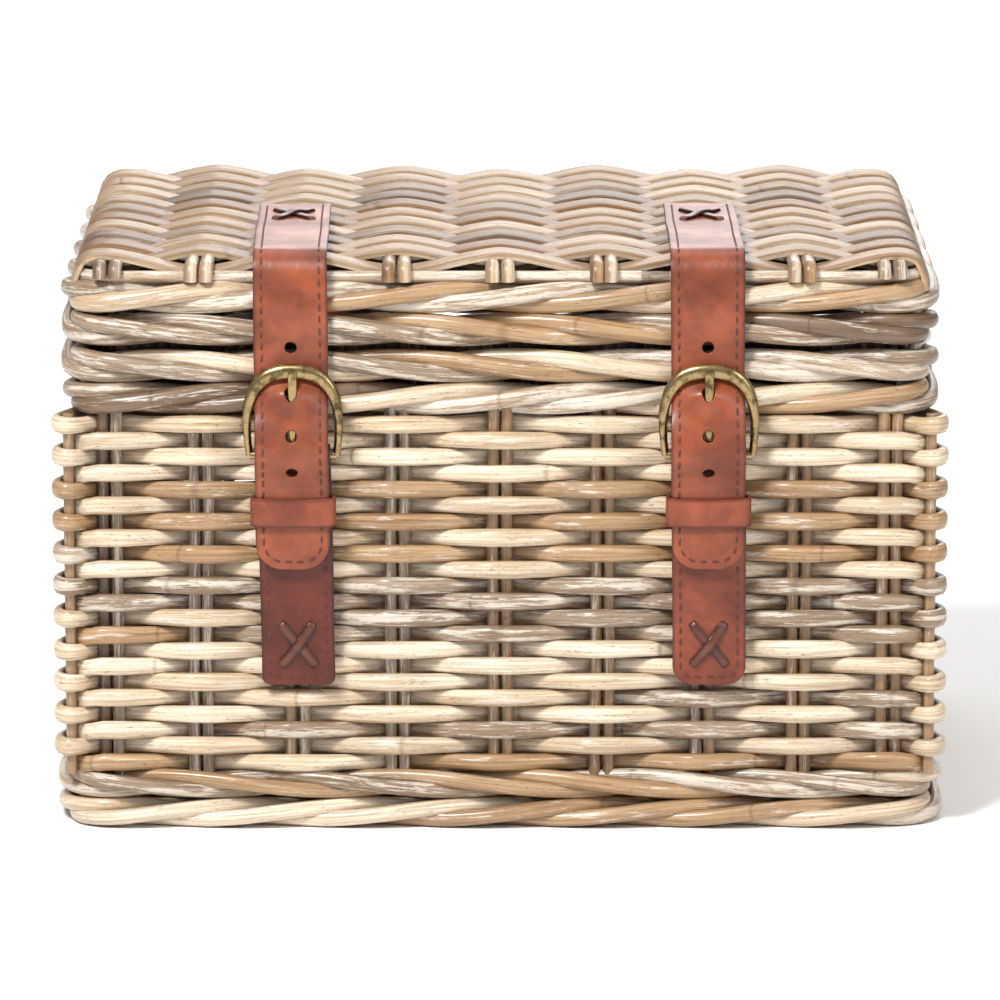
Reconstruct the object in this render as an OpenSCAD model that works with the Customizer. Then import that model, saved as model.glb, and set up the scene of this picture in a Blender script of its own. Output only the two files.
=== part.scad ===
// Lidded wicker handlebar basket with two leather closing straps at the front
// and two leather handlebar straps at the back. Millimetres, +Z up, front at -Y.

/* [Basket] */
// Width over the rim
width = 360; // [320:5:420]
// Depth over the rim
depth = 260; // [240:5:300]
// Outer radius of the four upright corners
corner_radius = 22.5; // [21:0.5:30]
// Extra reach of the foot border past the rim, each side
foot_flare = 3; // [0:0.5:4]

/* [Weave] */
// Number of woven rows in the wall
rows = 22; // [18:1:26]
// Height of one woven row
row_pitch = 6.7; // [6.2:0.1:7]
// Distance between stake pairs near the middle of the front
stake_pitch = 42; // [40:0.5:44]
// Distance between stake pairs at the ends
end_pitch = 40; // [36:0.5:42]
// Diameter of every stake
stake_d = 5; // [4:0.1:5.2]

/* [Borders] */
// Height of one rope of the foot border
foot_rope = 12; // [11:0.5:13]
// Height of one rope of the rim and lid borders
rope = 13.5; // [13:0.5:15]
// Gap between the closed lid and the rim
lid_gap = 1.5; // [1:0.1:3]

/* [Lid] */
// Number of flat slats woven over the lid
slats = 20; // [15:1:20]
// Width of one slat
slat_w = 10; // [6:0.5:10.5]
// Thickness of one slat
slat_t = 3; // [2:0.1:3.4]

/* [Closing straps] */
// Distance of each closing strap from the middle
strap_x = 84.5; // [70:0.5:100]
// Width of the closing straps
strap_w = 30; // [26:0.5:32]
// Thickness of the strap leather
leather = 2.4; // [2:0.1:2.6]
// Height of the buckle's heel bar above the ground
buckle_z = 157; // [150:1:160]
// Length of each strap on top of the lid
lid_strap_run = 124; // [100:1:160]

/* [Handlebar straps] */
// Diameter of the handlebar
bar_d = 25.4; // [22.2:0.1:25.4]
// Height of the handlebar's axis above the ground
bar_z = 150; // [148:1:152]
// Distance of each handlebar strap from the middle
bar_strap_x = 74; // [60:1:90]
// Width of the handlebar straps
bar_strap_w = 25; // [22:0.5:26]
// Height of the lower buckles' heel bar above the ground
bar_buckle_z = 90; // [88:1:92]

/* [Hidden] */
$fn = 48;

// Path that the stakes stand on: a rounded rectangle inside the outer surface
stake_inset = 8.5;
path_w = width - 2 * stake_inset;
path_d = depth - 2 * stake_inset;
path_r = corner_radius - stake_inset;
pair_gap = stake_d + 0.5;
skin_gap = 2.7;

// Heights
foot_h = 2 * foot_rope;
wall_top = foot_h + rows * row_pitch;
rim_top = wall_top + 2 * rope;
lid_z = rim_top + lid_gap;
lid_border_top = lid_z + 2 * rope;
slat_lift = stake_d / 2 + slat_t / 2 + 0.1;
lid_stake_z = lid_border_top + slat_lift + slat_t / 2 + 0.1;
lid_top = lid_stake_z + slat_lift + slat_t / 2;
foot_flat = 0.8;
base_z = 15;
base_row_r = 2.45;
base_row_pitch = 4.8;

// How far the ropes and the woven skins reach from the stakes' path
rope_reach = 8.3;
weave_reach = 7.5;
rope_inset = stake_inset + rope_reach;
rope_rod = 0.27;
base_inset = rope_inset - foot_flare + 0.4;
collar_offset = -11;
collar_r = 1.8;
crowding = 0.14;

// Rod in the groove along the top of the lid's border, and the stakes' ends in front of it
rod_r = 2.5;
rod_z = lid_border_top - rope_rod * rope + 0.1 + sqrt(
    pow(rope_rod * rope + rod_r, 2) - pow(rope_reach - rope_rod * rope, 2));
stub_inset = stake_inset - rod_r - stake_d / 2 - 0.1;
elbow = stake_d / 2 + 0.3;

// Hinge: a rod behind the rim that leather tabs of the lid turn on
hinge_r = 4;
running_fit = 0.05;
tab_t = 2;
hinge_out = 7;
hinge_z = rim_top + lid_gap / 2;
hinge_half = 112;
tab_x = 42;
tab_w = 26;
tie_x = 98;
tie_w = 12;

// Leather and buckles, measured outward from the wall and up
lay = 0.4;
keeper_t = 1.8;
play = 0.3;
heel_r = 2.25;
frame_r = 2.25;
frame_clear = 1.25;
prong_r = 1.7;
prong_eye_r = 4.2;
prong_eye_w = 4.6;
loop_r = heel_r + running_fit + leather;
heel_out = lay + 0.1 + loop_r;
chape_out = lay + keeper_t + play + leather / 2;
tail_out = chape_out + leather + play;
tail_over = heel_out + loop_r + 0.8 + leather / 2;
tail_behind = lay + play + leather / 2;
wall_out = lay + leather / 2;
frame_lean = 2.2;
keeper_h = 12;
keeper_drop = 29;
chape_in = 36;
chape_drop = 96;
tail_drop = 47;
hole_d = 4;
lace_t = 1.6;
lace_w = 3.6;
// Width and height of the crossed laces, and how far they lie from a strap's end
front_cross = [15, 19];
front_cross_in = 17;
top_cross_in = 30;
rear_cross = [12, 11];
rear_cross_in = 11;
tab_cross = [13, 9];
tab_up = 24;
tab_cross_up = 15;
tie_down = 17;

// Handlebar loop
bar_r = bar_d / 2;
bar_out = bar_r + 3.3;
bar_loop = bar_r + 0.1 + leather / 2;
bar_top_z = bar_z + 23;
bar_low_z = bar_z - 23;
anchor_top = bar_top_z + 20;
bar_chape_drop = 62;
bar_tail_drop = 40;

// Closing strap on the lid: along the top, over the front edge, down to the rim
lid_strap_z = lid_top + lay + leather / 2;
bend_r = 10;
lid_strap_path = concat(
    [[-lid_strap_run, lid_strap_z], [wall_out - bend_r - 1, lid_strap_z]],
    arc([wall_out - bend_r, lid_strap_z - bend_r], bend_r, 90, 0, 8),
    [[wall_out, lid_z + 0.2]]
);

// Handlebar strap: laced under the rim, over and round the bar
bar_centre = [bar_out, bar_z];
bar_from = touch(bar_centre, bar_loop, [wall_out, bar_top_z], -1);
bar_leave = touch(bar_centre, bar_loop, [tail_behind, bar_low_z], 1);

// The whole box is centred on the origin from the straps' tails to the bar loops
front_reach = tail_over + leather / 2;
rear_reach = bar_out + bar_loop + leather / 2;
body_y = (front_reach - rear_reach) / 2;

wicker_light = "#d9cdb8";
wicker_tan = "#c09a68";
wicker_grey = "#b9b2a6";
wicker_dark = "#7d6047";
cognac = "#a9512e";
dark_leather = "#4a1f14";
brass = "#8c7248";

// Stakes stand a little closer together toward the corners
function pair_x(i) = stake_pitch * i - crowding * i * i * i;
function pair_y(i) = end_pitch * i;
function unit(v) = v / norm(v);
function turned(v) = [-v[1], v[0]];
function arc(c, r, a, b, n) =
    [for (i = [0 : n]) c + r * [cos(a + (b - a) * i / n), sin(a + (b - a) * i / n)]];

// Point at distance d beside the i-th point of a path, mitred at its bends
function beside(p, i, d) =
    let (u = i == 0 ? unit(p[1] - p[0]) : unit(p[i] - p[i - 1]))
    let (v = i == len(p) - 1 ? u : unit(p[i + 1] - p[i]))
    let (m = unit(turned(u) + turned(v)))
    p[i] + m * d / (m * turned(u));

// Outline of a strip of thickness t along a path
function strip(p, t) = concat(
    [for (i = [0 : len(p) - 1]) beside(p, i, t / 2)],
    [for (i = [len(p) - 1 : -1 : 0]) beside(p, i, -t / 2)]
);

// Angle at which a line from point p touches the circle round c, on side s
function touch(c, r, p, s) =
    atan2(p[1] - c[1], p[0] - c[0]) + s * acos(r / norm(p - c));

// Sweeps the children's outline (outward, up) round a rounded rectangle
module ring(grow = 0) {
    r = path_r + grow;
    long = path_w - 2 * path_r;
    short = path_d - 2 * path_r;
    for (sx = [-1, 1])
        for (sy = [-1, 1])
            translate([sx * long / 2, body_y + sy * short / 2, 0])
                rotate([0, 0, sx > 0 ? (sy > 0 ? 0 : 270) : (sy > 0 ? 90 : 180)])
                    rotate_extrude(angle = 90)
                        translate([r, 0])
                            children();
    for (a = [0, 90, 180, 270]) {
        along = a % 180 == 0 ? short : long;
        away = (a % 180 == 0 ? long : short) / 2 + r;
        translate([0, body_y, 0])
            rotate([0, 0, a])
                translate([away, 0, 0])
                    rotate([90, 0, 0])
                        linear_extrude(height = along, center = true)
                            children();
    }
}

// Outline of one rope of a border: two rods outside, two inside
module rope_outline(h) {
    r = rope_rod * h;
    for (sx = [-1, 1])
        for (sz = [-1, 1])
            translate([sx * (rope_reach - r), sz * (h / 2 - r)])
                circle(r);
    square([2 * (rope_reach - r), 1.5 * r], center = true);
    square([1.2 * r, h - 1.5 * r], center = true);
}

module border(z, h, grow = 0) {
    ring(grow)
        translate([0, z + h / 2])
            rope_outline(h);
}

// Rounded rectangle that lies the given distance inside the outer surface
module inside(inset) {
    r = corner_radius - inset;
    w = width - 2 * inset;
    d = depth - 2 * inset;
    square([w, d - 2 * r], center = true);
    square([w - 2 * r, d], center = true);
    for (sx = [-1, 1])
        for (sy = [-1, 1])
            translate([sx * (w / 2 - r), sy * (d / 2 - r)])
                circle(r);
}

// Keeps what lies inside the given inset, between two heights
module trim(inset, low, high) {
    intersection() {
        children();
        translate([0, body_y, low])
            linear_extrude(height = high - low)
                inside(inset);
    }
}

module rod_along_x(r, half, y, z) {
    translate([-half, y, z])
        rotate([0, 90, 0])
            cylinder(r = r, h = 2 * half);
}

// Places children drawn as (outward, up) against the front or back wall
module on_front(x) {
    translate([x, body_y - depth / 2, 0])
        mirror([0, 1, 0])
            children();
}

module on_back(x) {
    translate([x, body_y + depth / 2, 0])
        children();
}

// Leather strip of width w whose path lies in the (outward, up) plane
module ribbon(path, w) {
    rotate([90, 0, 90])
        linear_extrude(height = w, center = true)
            polygon(strip(path, leather));
}

// Crossed lace of the given width and height, drawn in the (x, up) plane
module cross_outline(size) {
    for (s = [-1, 1])
        rotate([0, 0, s * atan2(size[1], size[0])])
            square([norm(size), lace_w], center = true);
}

module foot_border_lower() {
    color(wicker_tan)
        intersection() {
            border(-foot_flat, foot_rope + foot_flat, foot_flare);
            translate([-width, -width, 0])
                cube([2 * width, 2 * width, foot_rope]);
        }
}

module foot_border_upper() {
    color(wicker_grey)
        border(foot_rope, foot_rope, foot_flare);
}

module stakes_along_y(z, long) {
    for (i = [-4 : 4])
        for (s = [-1, 1])
            translate([pair_x(i) + s * pair_gap / 2, body_y, z])
                rotate([90, 0, 0])
                    cylinder(d = stake_d, h = long, center = true);
}

module base_stakes() {
    color(wicker_tan)
        trim(base_inset, 0, foot_h)
            stakes_along_y(base_z, depth);
}

module base_weave() {
    count = floor((depth - 2 * base_inset - 3) / base_row_pitch);
    color(wicker_light)
        trim(base_inset, 0, foot_h)
            translate([0, body_y, base_z + stake_d / 2 + base_row_r])
                rotate([90, 0, 90])
                    linear_extrude(height = width, center = true)
                        for (i = [0 : count])
                            translate([(i - count / 2) * base_row_pitch, 0])
                                circle(base_row_r);
}

// How far in from a straight side of half length half the path lies at distance u from its middle
function path_in(u, half) =
    let (past = abs(u) - (half - path_r))
    past > 0 ? path_r - sqrt(path_r * path_r - past * past) : 0;

module side_stake(x, y) {
    translate([x, y, 0])
        cylinder(d = stake_d, h = wall_top - foot_h);
}

module side_stakes() {
    color(wicker_tan)
        translate([0, body_y, foot_h])
            for (s = [-1, 1])
                for (e = [-1, 1]) {
                    for (i = [-4 : 4]) {
                        x = pair_x(i) + e * pair_gap / 2;
                        side_stake(x, s * (path_d / 2 - path_in(x, path_w / 2)));
                    }
                    for (i = [-2 : 2])
                        side_stake(s * path_w / 2, pair_y(i) + e * pair_gap / 2);
                }
}

module corner_stakes() {
    reach = path_r * (1 - cos(45));
    color(wicker_dark)
        for (sx = [-1, 1])
            for (sy = [-1, 1])
                translate([sx * (path_w / 2 - reach), body_y + sy * (path_d / 2 - reach), foot_h])
                    cylinder(d = stake_d, h = wall_top - foot_h);
}

// One skin of the wall, side 1 outside the stakes and -1 inside them
module weave_skin(side) {
    r = row_pitch / 2 + 0.05;
    ring()
        intersection() {
            union() {
                for (i = [0 : rows - 1])
                    translate([side * (weave_reach - r), foot_h + (i + 0.5) * row_pitch])
                        circle(r);
                translate([side > 0 ? skin_gap : -skin_gap - 1.8, foot_h])
                    square([1.8, rows * row_pitch]);
            }
            translate([side > 0 ? skin_gap : -skin_gap - 10, foot_h])
                square([10, rows * row_pitch]);
        }
}

module outer_weave() {
    color(wicker_light)
        weave_skin(1);
}

module inner_weave() {
    color(wicker_tan)
        weave_skin(-1);
}

module rim_border_lower() {
    color(wicker_tan)
        border(wall_top, rope);
}

module rim_border_upper() {
    color(wicker_grey)
        border(wall_top + rope, rope);
}

// Wrapped collar inside the rim that the lid closes over
module inner_rim() {
    color(wicker_dark)
        ring()
            translate([collar_offset, wall_top + rope + 3.5]) {
                square([2 * collar_r, rope], center = true);
                for (s = [-1, 1])
                    translate([0, s * rope / 2])
                        circle(collar_r);
            }
}

module hinge_rod() {
    color(wicker_tan)
        rod_along_x(hinge_r, hinge_half, body_y + depth / 2 + hinge_out, hinge_z);
}

// Leather loop round the hinge rod with an arm of length n up (1) or down (-1)
module hinge_loop(w, clear, n, way) {
    translate([0, hinge_out, hinge_z])
        rotate([0, 90, 0])
            difference() {
                cylinder(r = hinge_r + clear + tab_t, h = w, center = true);
                cylinder(r = hinge_r + clear, h = w + 1, center = true);
            }
    low = way > 0 ? hinge_z + 1 : hinge_z - 1 - n;
    difference() {
        translate([-w / 2, lay, low])
            cube([w, tab_t, n]);
        translate([0, hinge_out, hinge_z])
            rotate([0, 90, 0])
                cylinder(r = hinge_r + clear, h = w + 1, center = true);
    }
}

module rod_ties() {
    color(cognac)
        for (s = [-1, 1])
            on_back(s * tie_x)
                hinge_loop(tie_w, 0, tie_down, -1);
}

module lid_border_lower() {
    color(wicker_tan)
        border(lid_z, rope);
}

module lid_border_upper() {
    color(wicker_grey)
        border(lid_z + rope, rope);
}

module lid_rim_rod() {
    color(wicker_light)
        ring()
            translate([0, rod_z])
                circle(rod_r);
}

// Stakes of the lid, laid over the rim rod and bent down at both ends
module lid_stakes() {
    reach = depth / 2 - stub_inset - elbow;
    low = lid_border_top + 0.1;
    high = lid_stake_z - elbow;
    color(wicker_tan) {
        stakes_along_y(lid_stake_z, 2 * reach);
        for (i = [-4 : 4])
            for (s = [-1, 1])
                for (e = [0, 1])
                    translate([pair_x(i) + s * pair_gap / 2, body_y, 0])
                        mirror([0, e, 0]) {
                            translate([0, reach, high])
                                rotate([90, 0, 90])
                                    rotate_extrude(angle = 90)
                                        translate([elbow, 0])
                                            circle(d = stake_d);
                            translate([0, reach + elbow, low])
                                cylinder(d = stake_d, h = high - low);
                        }
    }
}

// Heights of a slat's middle line over and under the stake pairs
function slat_line(phase) = [
    for (i = [-4 : 4])
        for (s = [-1, 1])
            [pair_x(i) + s * 6.5, (i + phase) % 2 == 0 ? slat_lift : -slat_lift]
];

module lid_weave() {
    inset = stake_inset + rod_r + 0.3;
    pitch = (depth - 2 * inset - slat_w) / (slats - 1);
    color(wicker_light)
        trim(inset, lid_z, lid_top + 1)
            for (j = [0 : slats - 1])
                translate([0, body_y + (j - (slats - 1) / 2) * pitch, lid_stake_z])
                    rotate([90, 0, 0])
                        linear_extrude(height = slat_w, center = true)
                            polygon(strip(slat_line(j % 2), slat_t));
}

module hinge_tabs() {
    color(cognac)
        for (s = [-1, 1])
            on_back(s * tab_x)
                hinge_loop(tab_w, running_fit, tab_up, 1);
}

// Crossed lace on the (x, up) face of a strap at height z and outward level out
module wall_lace(z, out, size) {
    translate([0, out + lace_t, z])
        rotate([90, 0, 0])
            linear_extrude(height = lace_t)
                cross_outline(size);
}

module hinge_lacing() {
    color(dark_leather)
        for (s = [-1, 1])
            on_back(s * tab_x)
                wall_lace(hinge_z + tab_cross_up, lay + tab_t, tab_cross);
}

module lid_strap(side) {
    color(cognac)
        on_front(side * strap_x)
            ribbon(lid_strap_path, strap_w);
}

module lid_strap_lace(side) {
    color(dark_leather)
        on_front(side * strap_x)
            translate([0, top_cross_in - lid_strap_run, lid_strap_z + leather / 2])
                linear_extrude(height = lace_t)
                    cross_outline(front_cross);
}

// Radius of a buckle's arch for a strap of width w, and the arch's height over the heel bar
function arch_r(w) = w / 2 + frame_clear + frame_r;
function arch_h(w) = 2 * arch_r(w) - 1.5;

// Path of a strap's tail: behind the arch, over the heel bar, down to its tip
function tail_path(w, z, drop) = [
    [tail_behind, z + arch_h(w) - 10.5],
    [tail_over - 1.2, z + arch_h(w) - 23],
    [tail_over, z + arch_h(w) - 28],
    [tail_over, z - 2],
    [tail_out, z - 10],
    [tail_out, z - drop]
];

// Slot that lets the prong through a tail
module prong_slot(w, z) {
    top = z + arch_h(w) - 11.5;
    high = 17;
    translate([-prong_r - 0.6, 0, top - high])
        cube([2 * prong_r + 1.2, 20, high]);
}

// Round holes of a strap at the given heights
module punched(heights) {
    for (z = heights)
        translate([0, -1, z])
            rotate([-90, 0, 0])
                cylinder(d = hole_d, h = 30);
}

// Round end of a strap of width w, its tip at height z, opening upward
module round_end(w, z, top) {
    r = w * 0.42;
    translate([0, 40, 0])
        rotate([90, 0, 0])
            linear_extrude(height = 60) {
                for (s = [-1, 1])
                    translate([s * (w / 2 - r), z + r])
                        circle(r);
                translate([r - w / 2, z])
                    square([w - 2 * r, r]);
                translate([-w / 2, z + r])
                    square([w, top - z - r]);
            }
}

module lid_strap_tail(side) {
    top = lid_z - 0.2;
    color(cognac)
        on_front(side * strap_x)
            difference() {
                intersection() {
                    ribbon(concat(
                        [[tail_behind, top]],
                        tail_path(strap_w, buckle_z, tail_drop)
                    ), strap_w);
                    round_end(strap_w, buckle_z - tail_drop, top + 1);
                }
                prong_slot(strap_w, buckle_z);
                punched([buckle_z + 8, buckle_z - 7]);
            }
}

// Chape: loops round the heel bar and runs down the wall to its laced end
module chape_strap(w, z, drop) {
    difference() {
        intersection() {
            union() {
                translate([-w / 2, heel_out, z])
                    rotate([0, 90, 0])
                        cylinder(r = loop_r, h = w);
                ribbon([
                    [chape_out, z],
                    [chape_out, z - chape_in],
                    [wall_out, z - chape_in - 8],
                    [wall_out, z - drop]
                ], w);
            }
            round_end(w, z - drop, z + 20);
        }
        translate([-w, heel_out, z])
            rotate([0, 90, 0])
                cylinder(r = heel_r + running_fit, h = 2 * w);
        translate([-3, -1, z - loop_r - 0.1])
            cube([6, 20, 2 * loop_r + 1]);
    }
}

module buckle_frame(w, z) {
    r = arch_r(w);
    straight = arch_h(w) - r;
    translate([0, heel_out, z])
        rotate([-frame_lean, 0, 0]) {
            translate([-r, 0, 0])
                rotate([0, 90, 0])
                    cylinder(r = heel_r, h = 2 * r);
            for (s = [-1, 1])
                translate([s * r, 0, 0]) {
                    sphere(frame_r);
                    cylinder(r = frame_r, h = straight);
                }
            translate([0, 0, straight])
                rotate([90, 0, 0])
                    rotate_extrude(angle = 180)
                        translate([r, 0])
                            circle(frame_r);
        }
}

module buckle_prong(w, z) {
    reach = arch_h(w);
    start = 2.4;
    finish = frame_r + play + prong_r;
    slope = atan2(finish - start, reach);
    translate([0, heel_out, z])
        rotate([-frame_lean, 0, 0])
            difference() {
                union() {
                    rotate([0, 90, 0])
                        cylinder(r = prong_eye_r, h = prong_eye_w, center = true);
                    translate([0, start, 0])
                        rotate([-slope, 0, 0]) {
                            cylinder(r = prong_r, h = reach);
                            translate([0, 0, reach])
                                sphere(prong_r);
                        }
                }
                rotate([0, 90, 0])
                    cylinder(r = heel_r + running_fit, h = 6, center = true);
            }
}

// Closed leather band round the chape and the tail, its lower edge at height z
module keeper_band(w, z) {
    deep = tail_out + leather / 2 + play - lay - keeper_t;
    hollow = w / 2 + 0.6;
    translate([0, lay, z])
        difference() {
            translate([-hollow - keeper_t, 0, 0])
                cube([2 * (hollow + keeper_t), deep + 2 * keeper_t, keeper_h]);
            translate([-hollow, keeper_t, -1])
                cube([2 * hollow, deep, keeper_h + 2]);
        }
}

module chape(side) {
    color(cognac)
        on_front(side * strap_x)
            chape_strap(strap_w, buckle_z, chape_drop);
}

module chape_lace(side) {
    color(dark_leather)
        on_front(side * strap_x)
            wall_lace(buckle_z - chape_drop + front_cross_in, wall_out + leather / 2, front_cross);
}

module front_buckle_frame(side) {
    color(brass)
        on_front(side * strap_x)
            buckle_frame(strap_w, buckle_z);
}

module front_buckle_prong(side) {
    color(brass)
        on_front(side * strap_x)
            buckle_prong(strap_w, buckle_z);
}

module keeper(side) {
    color(cognac)
        on_front(side * strap_x)
            keeper_band(strap_w, buckle_z - keeper_drop);
}

module bar_strap(side) {
    color(cognac)
        on_back(side * bar_strap_x)
            union() {
                ribbon([
                    [wall_out, anchor_top],
                    [wall_out, bar_top_z],
                    bar_centre + bar_loop * [cos(bar_from), sin(bar_from)]
                ], bar_strap_w);
                translate([-bar_strap_w / 2, 0, 0])
                    rotate([90, 0, 90])
                        linear_extrude(height = bar_strap_w)
                            bar_hoop(bar_from, bar_leave + 3);
            }
}

// Part of a ring round the handlebar between two angles
module bar_hoop(from, to) {
    far = 40;
    intersection() {
        translate(bar_centre)
            difference() {
                circle(bar_loop + leather / 2, $fn = 96);
                circle(bar_loop - leather / 2, $fn = 96);
            }
        polygon(concat([bar_centre], arc(bar_centre, far, from, to, 6)));
    }
}

module bar_strap_lace(side) {
    color(dark_leather)
        on_back(side * bar_strap_x)
            wall_lace(anchor_top - rear_cross_in, wall_out + leather / 2, rear_cross);
}

module bar_strap_tail(side) {
    start = bar_leave + 1;
    color(cognac)
        on_back(side * bar_strap_x)
            difference() {
                intersection() {
                    ribbon(concat(
                        [
                            bar_centre + bar_loop * [cos(start), sin(start)],
                            [tail_behind, bar_low_z]
                        ],
                        tail_path(bar_strap_w, bar_buckle_z, bar_tail_drop)
                    ), bar_strap_w);
                    round_end(bar_strap_w, bar_buckle_z - bar_tail_drop, bar_z);
                }
                prong_slot(bar_strap_w, bar_buckle_z);
                punched([bar_buckle_z + 3, bar_buckle_z - 10]);
            }
}

module bar_chape(side) {
    color(cognac)
        on_back(side * bar_strap_x)
            chape_strap(bar_strap_w, bar_buckle_z, bar_chape_drop);
}

module bar_chape_lace(side) {
    color(dark_leather)
        on_back(side * bar_strap_x)
            wall_lace(bar_buckle_z - bar_chape_drop + rear_cross_in, wall_out + leather / 2, rear_cross);
}

module bar_buckle_frame(side) {
    color(brass)
        on_back(side * bar_strap_x)
            buckle_frame(bar_strap_w, bar_buckle_z);
}

module bar_buckle_prong(side) {
    color(brass)
        on_back(side * bar_strap_x)
            buckle_prong(bar_strap_w, bar_buckle_z);
}

module bar_keeper(side) {
    color(cognac)
        on_back(side * bar_strap_x)
            keeper_band(bar_strap_w, bar_buckle_z - keeper_drop);
}

foot_border_lower();
foot_border_upper();
base_stakes();
base_weave();
side_stakes();
corner_stakes();
outer_weave();
inner_weave();
rim_border_lower();
rim_border_upper();
inner_rim();
hinge_rod();
rod_ties();
lid_border_lower();
lid_border_upper();
lid_rim_rod();
lid_stakes();
lid_weave();
hinge_tabs();
hinge_lacing();
lid_strap(-1);  // left_lid_strap
lid_strap_lace(-1);  // left_lid_strap_lace
lid_strap_tail(-1);  // left_lid_strap_tail
chape(-1);  // left_chape
chape_lace(-1);  // left_chape_lace
front_buckle_frame(-1);  // left_buckle_frame
front_buckle_prong(-1);  // left_buckle_prong
keeper(-1);  // left_keeper
lid_strap(1);  // right_lid_strap
lid_strap_lace(1);  // right_lid_strap_lace
lid_strap_tail(1);  // right_lid_strap_tail
chape(1);  // right_chape
chape_lace(1);  // right_chape_lace
front_buckle_frame(1);  // right_buckle_frame
front_buckle_prong(1);  // right_buckle_prong
keeper(1);  // right_keeper
bar_strap(-1);  // left_bar_strap
bar_strap_lace(-1);  // left_bar_strap_lace
bar_strap_tail(-1);  // left_bar_strap_tail
bar_chape(-1);  // left_bar_chape
bar_chape_lace(-1);  // left_bar_chape_lace
bar_buckle_frame(-1);  // left_bar_buckle_frame
bar_buckle_prong(-1);  // left_bar_buckle_prong
bar_keeper(-1);  // left_bar_keeper
bar_strap(1);  // right_bar_strap
bar_strap_lace(1);  // right_bar_strap_lace
bar_strap_tail(1);  // right_bar_strap_tail
bar_chape(1);  // right_bar_chape
bar_chape_lace(1);  // right_bar_chape_lace
bar_buckle_frame(1);  // right_bar_buckle_frame
bar_buckle_prong(1);  // right_bar_buckle_prong
bar_keeper(1);  // right_bar_keeper
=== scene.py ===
"""Blender scene of the lidded wicker handlebar basket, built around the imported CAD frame.

Every wicker rod is a swept strand that carries its own lengthwise coordinate, tone and
amount of whitewash, and every strap is a flat pattern bent along a side profile.
Lengths are in metres; MM turns millimetres into metres.
"""
import math

import bmesh
import bpy
import numpy as np
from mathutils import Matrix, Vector


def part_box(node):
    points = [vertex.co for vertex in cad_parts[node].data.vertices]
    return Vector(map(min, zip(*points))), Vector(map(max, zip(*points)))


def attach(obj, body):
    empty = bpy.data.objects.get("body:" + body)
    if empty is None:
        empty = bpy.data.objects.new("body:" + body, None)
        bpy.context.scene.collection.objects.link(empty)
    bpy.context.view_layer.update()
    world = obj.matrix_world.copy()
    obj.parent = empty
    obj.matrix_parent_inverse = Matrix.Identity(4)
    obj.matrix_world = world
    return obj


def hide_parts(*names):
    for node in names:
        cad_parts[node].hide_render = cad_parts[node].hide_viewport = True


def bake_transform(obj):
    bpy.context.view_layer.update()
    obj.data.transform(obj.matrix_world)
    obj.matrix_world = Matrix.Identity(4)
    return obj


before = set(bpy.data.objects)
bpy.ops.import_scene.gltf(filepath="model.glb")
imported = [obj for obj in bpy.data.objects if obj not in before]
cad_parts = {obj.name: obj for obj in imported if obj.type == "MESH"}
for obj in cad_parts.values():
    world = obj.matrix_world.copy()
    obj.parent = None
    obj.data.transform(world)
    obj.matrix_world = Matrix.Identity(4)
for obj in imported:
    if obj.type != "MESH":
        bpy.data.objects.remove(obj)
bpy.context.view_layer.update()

MM = 0.001
TAU = 2 * math.pi
UP = np.array([0.0, 0.0, 1.0])

# ---------------------------------------------------------------- layout, from the frame

wall_lo, wall_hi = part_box("side_stakes")
rim_lo, rim_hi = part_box("rim_border_upper")
BODY_Y = (wall_lo.y + wall_hi.y) / 2
STAKE_D = 5 * MM
HALF_W = (wall_hi.x - wall_lo.x - STAKE_D) / 2
HALF_D = (wall_hi.y - wall_lo.y - STAKE_D) / 2
CORNER_R = 14 * MM
FRONT_Y, BACK_Y = rim_lo.y, rim_hi.y
OUTER_X = rim_hi.x
FOOT_H, WALL_TOP = wall_lo.z, wall_hi.z
LID_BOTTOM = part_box("lid_border_lower")[0].z
LID_BORDER_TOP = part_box("lid_border_upper")[1].z
LID_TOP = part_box("lid_weave")[1].z
ROWS = 22
ROW_H = (WALL_TOP - FOOT_H) / ROWS
PAIR_GAP = 5.5 * MM
END_PITCH = 40 * MM
FRONT_PAIRS = range(-4, 5)
END_PAIRS = range(-2, 3)


def pair_x(i):
    """Stake pairs stand a little closer together toward the corners."""
    return (42 * i - 0.14 * i**3) * MM


# ---------------------------------------------------------------- colours


def linear(r, g, b):
    """Scene-linear colour of an 8-bit sRGB one."""
    return tuple(((c / 255 + 0.055) / 1.055) ** 2.4 if c > 10 else c / 255 / 12.92 for c in (r, g, b))


# Tones of rattan: bare colour and how much whitewash is left on it
TONES = {
    "p": (linear(238, 224, 202), 0.26),
    "c": (linear(222, 204, 178), 0.40),
    "t": (linear(182, 150, 112), 0.34),
    "g": (linear(158, 138, 116), 0.52),
    "w": (linear(184, 163, 138), 0.68),
    "b": (linear(122, 99, 77), 0.34),
    "d": (linear(60, 42, 29), 0.0),
}
WASH = linear(220, 210, 195)
OLD_WASH = (0.60, 0.53, 0.44)
FLECK = linear(92, 66, 44)

# ---------------------------------------------------------------- meshes


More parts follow.
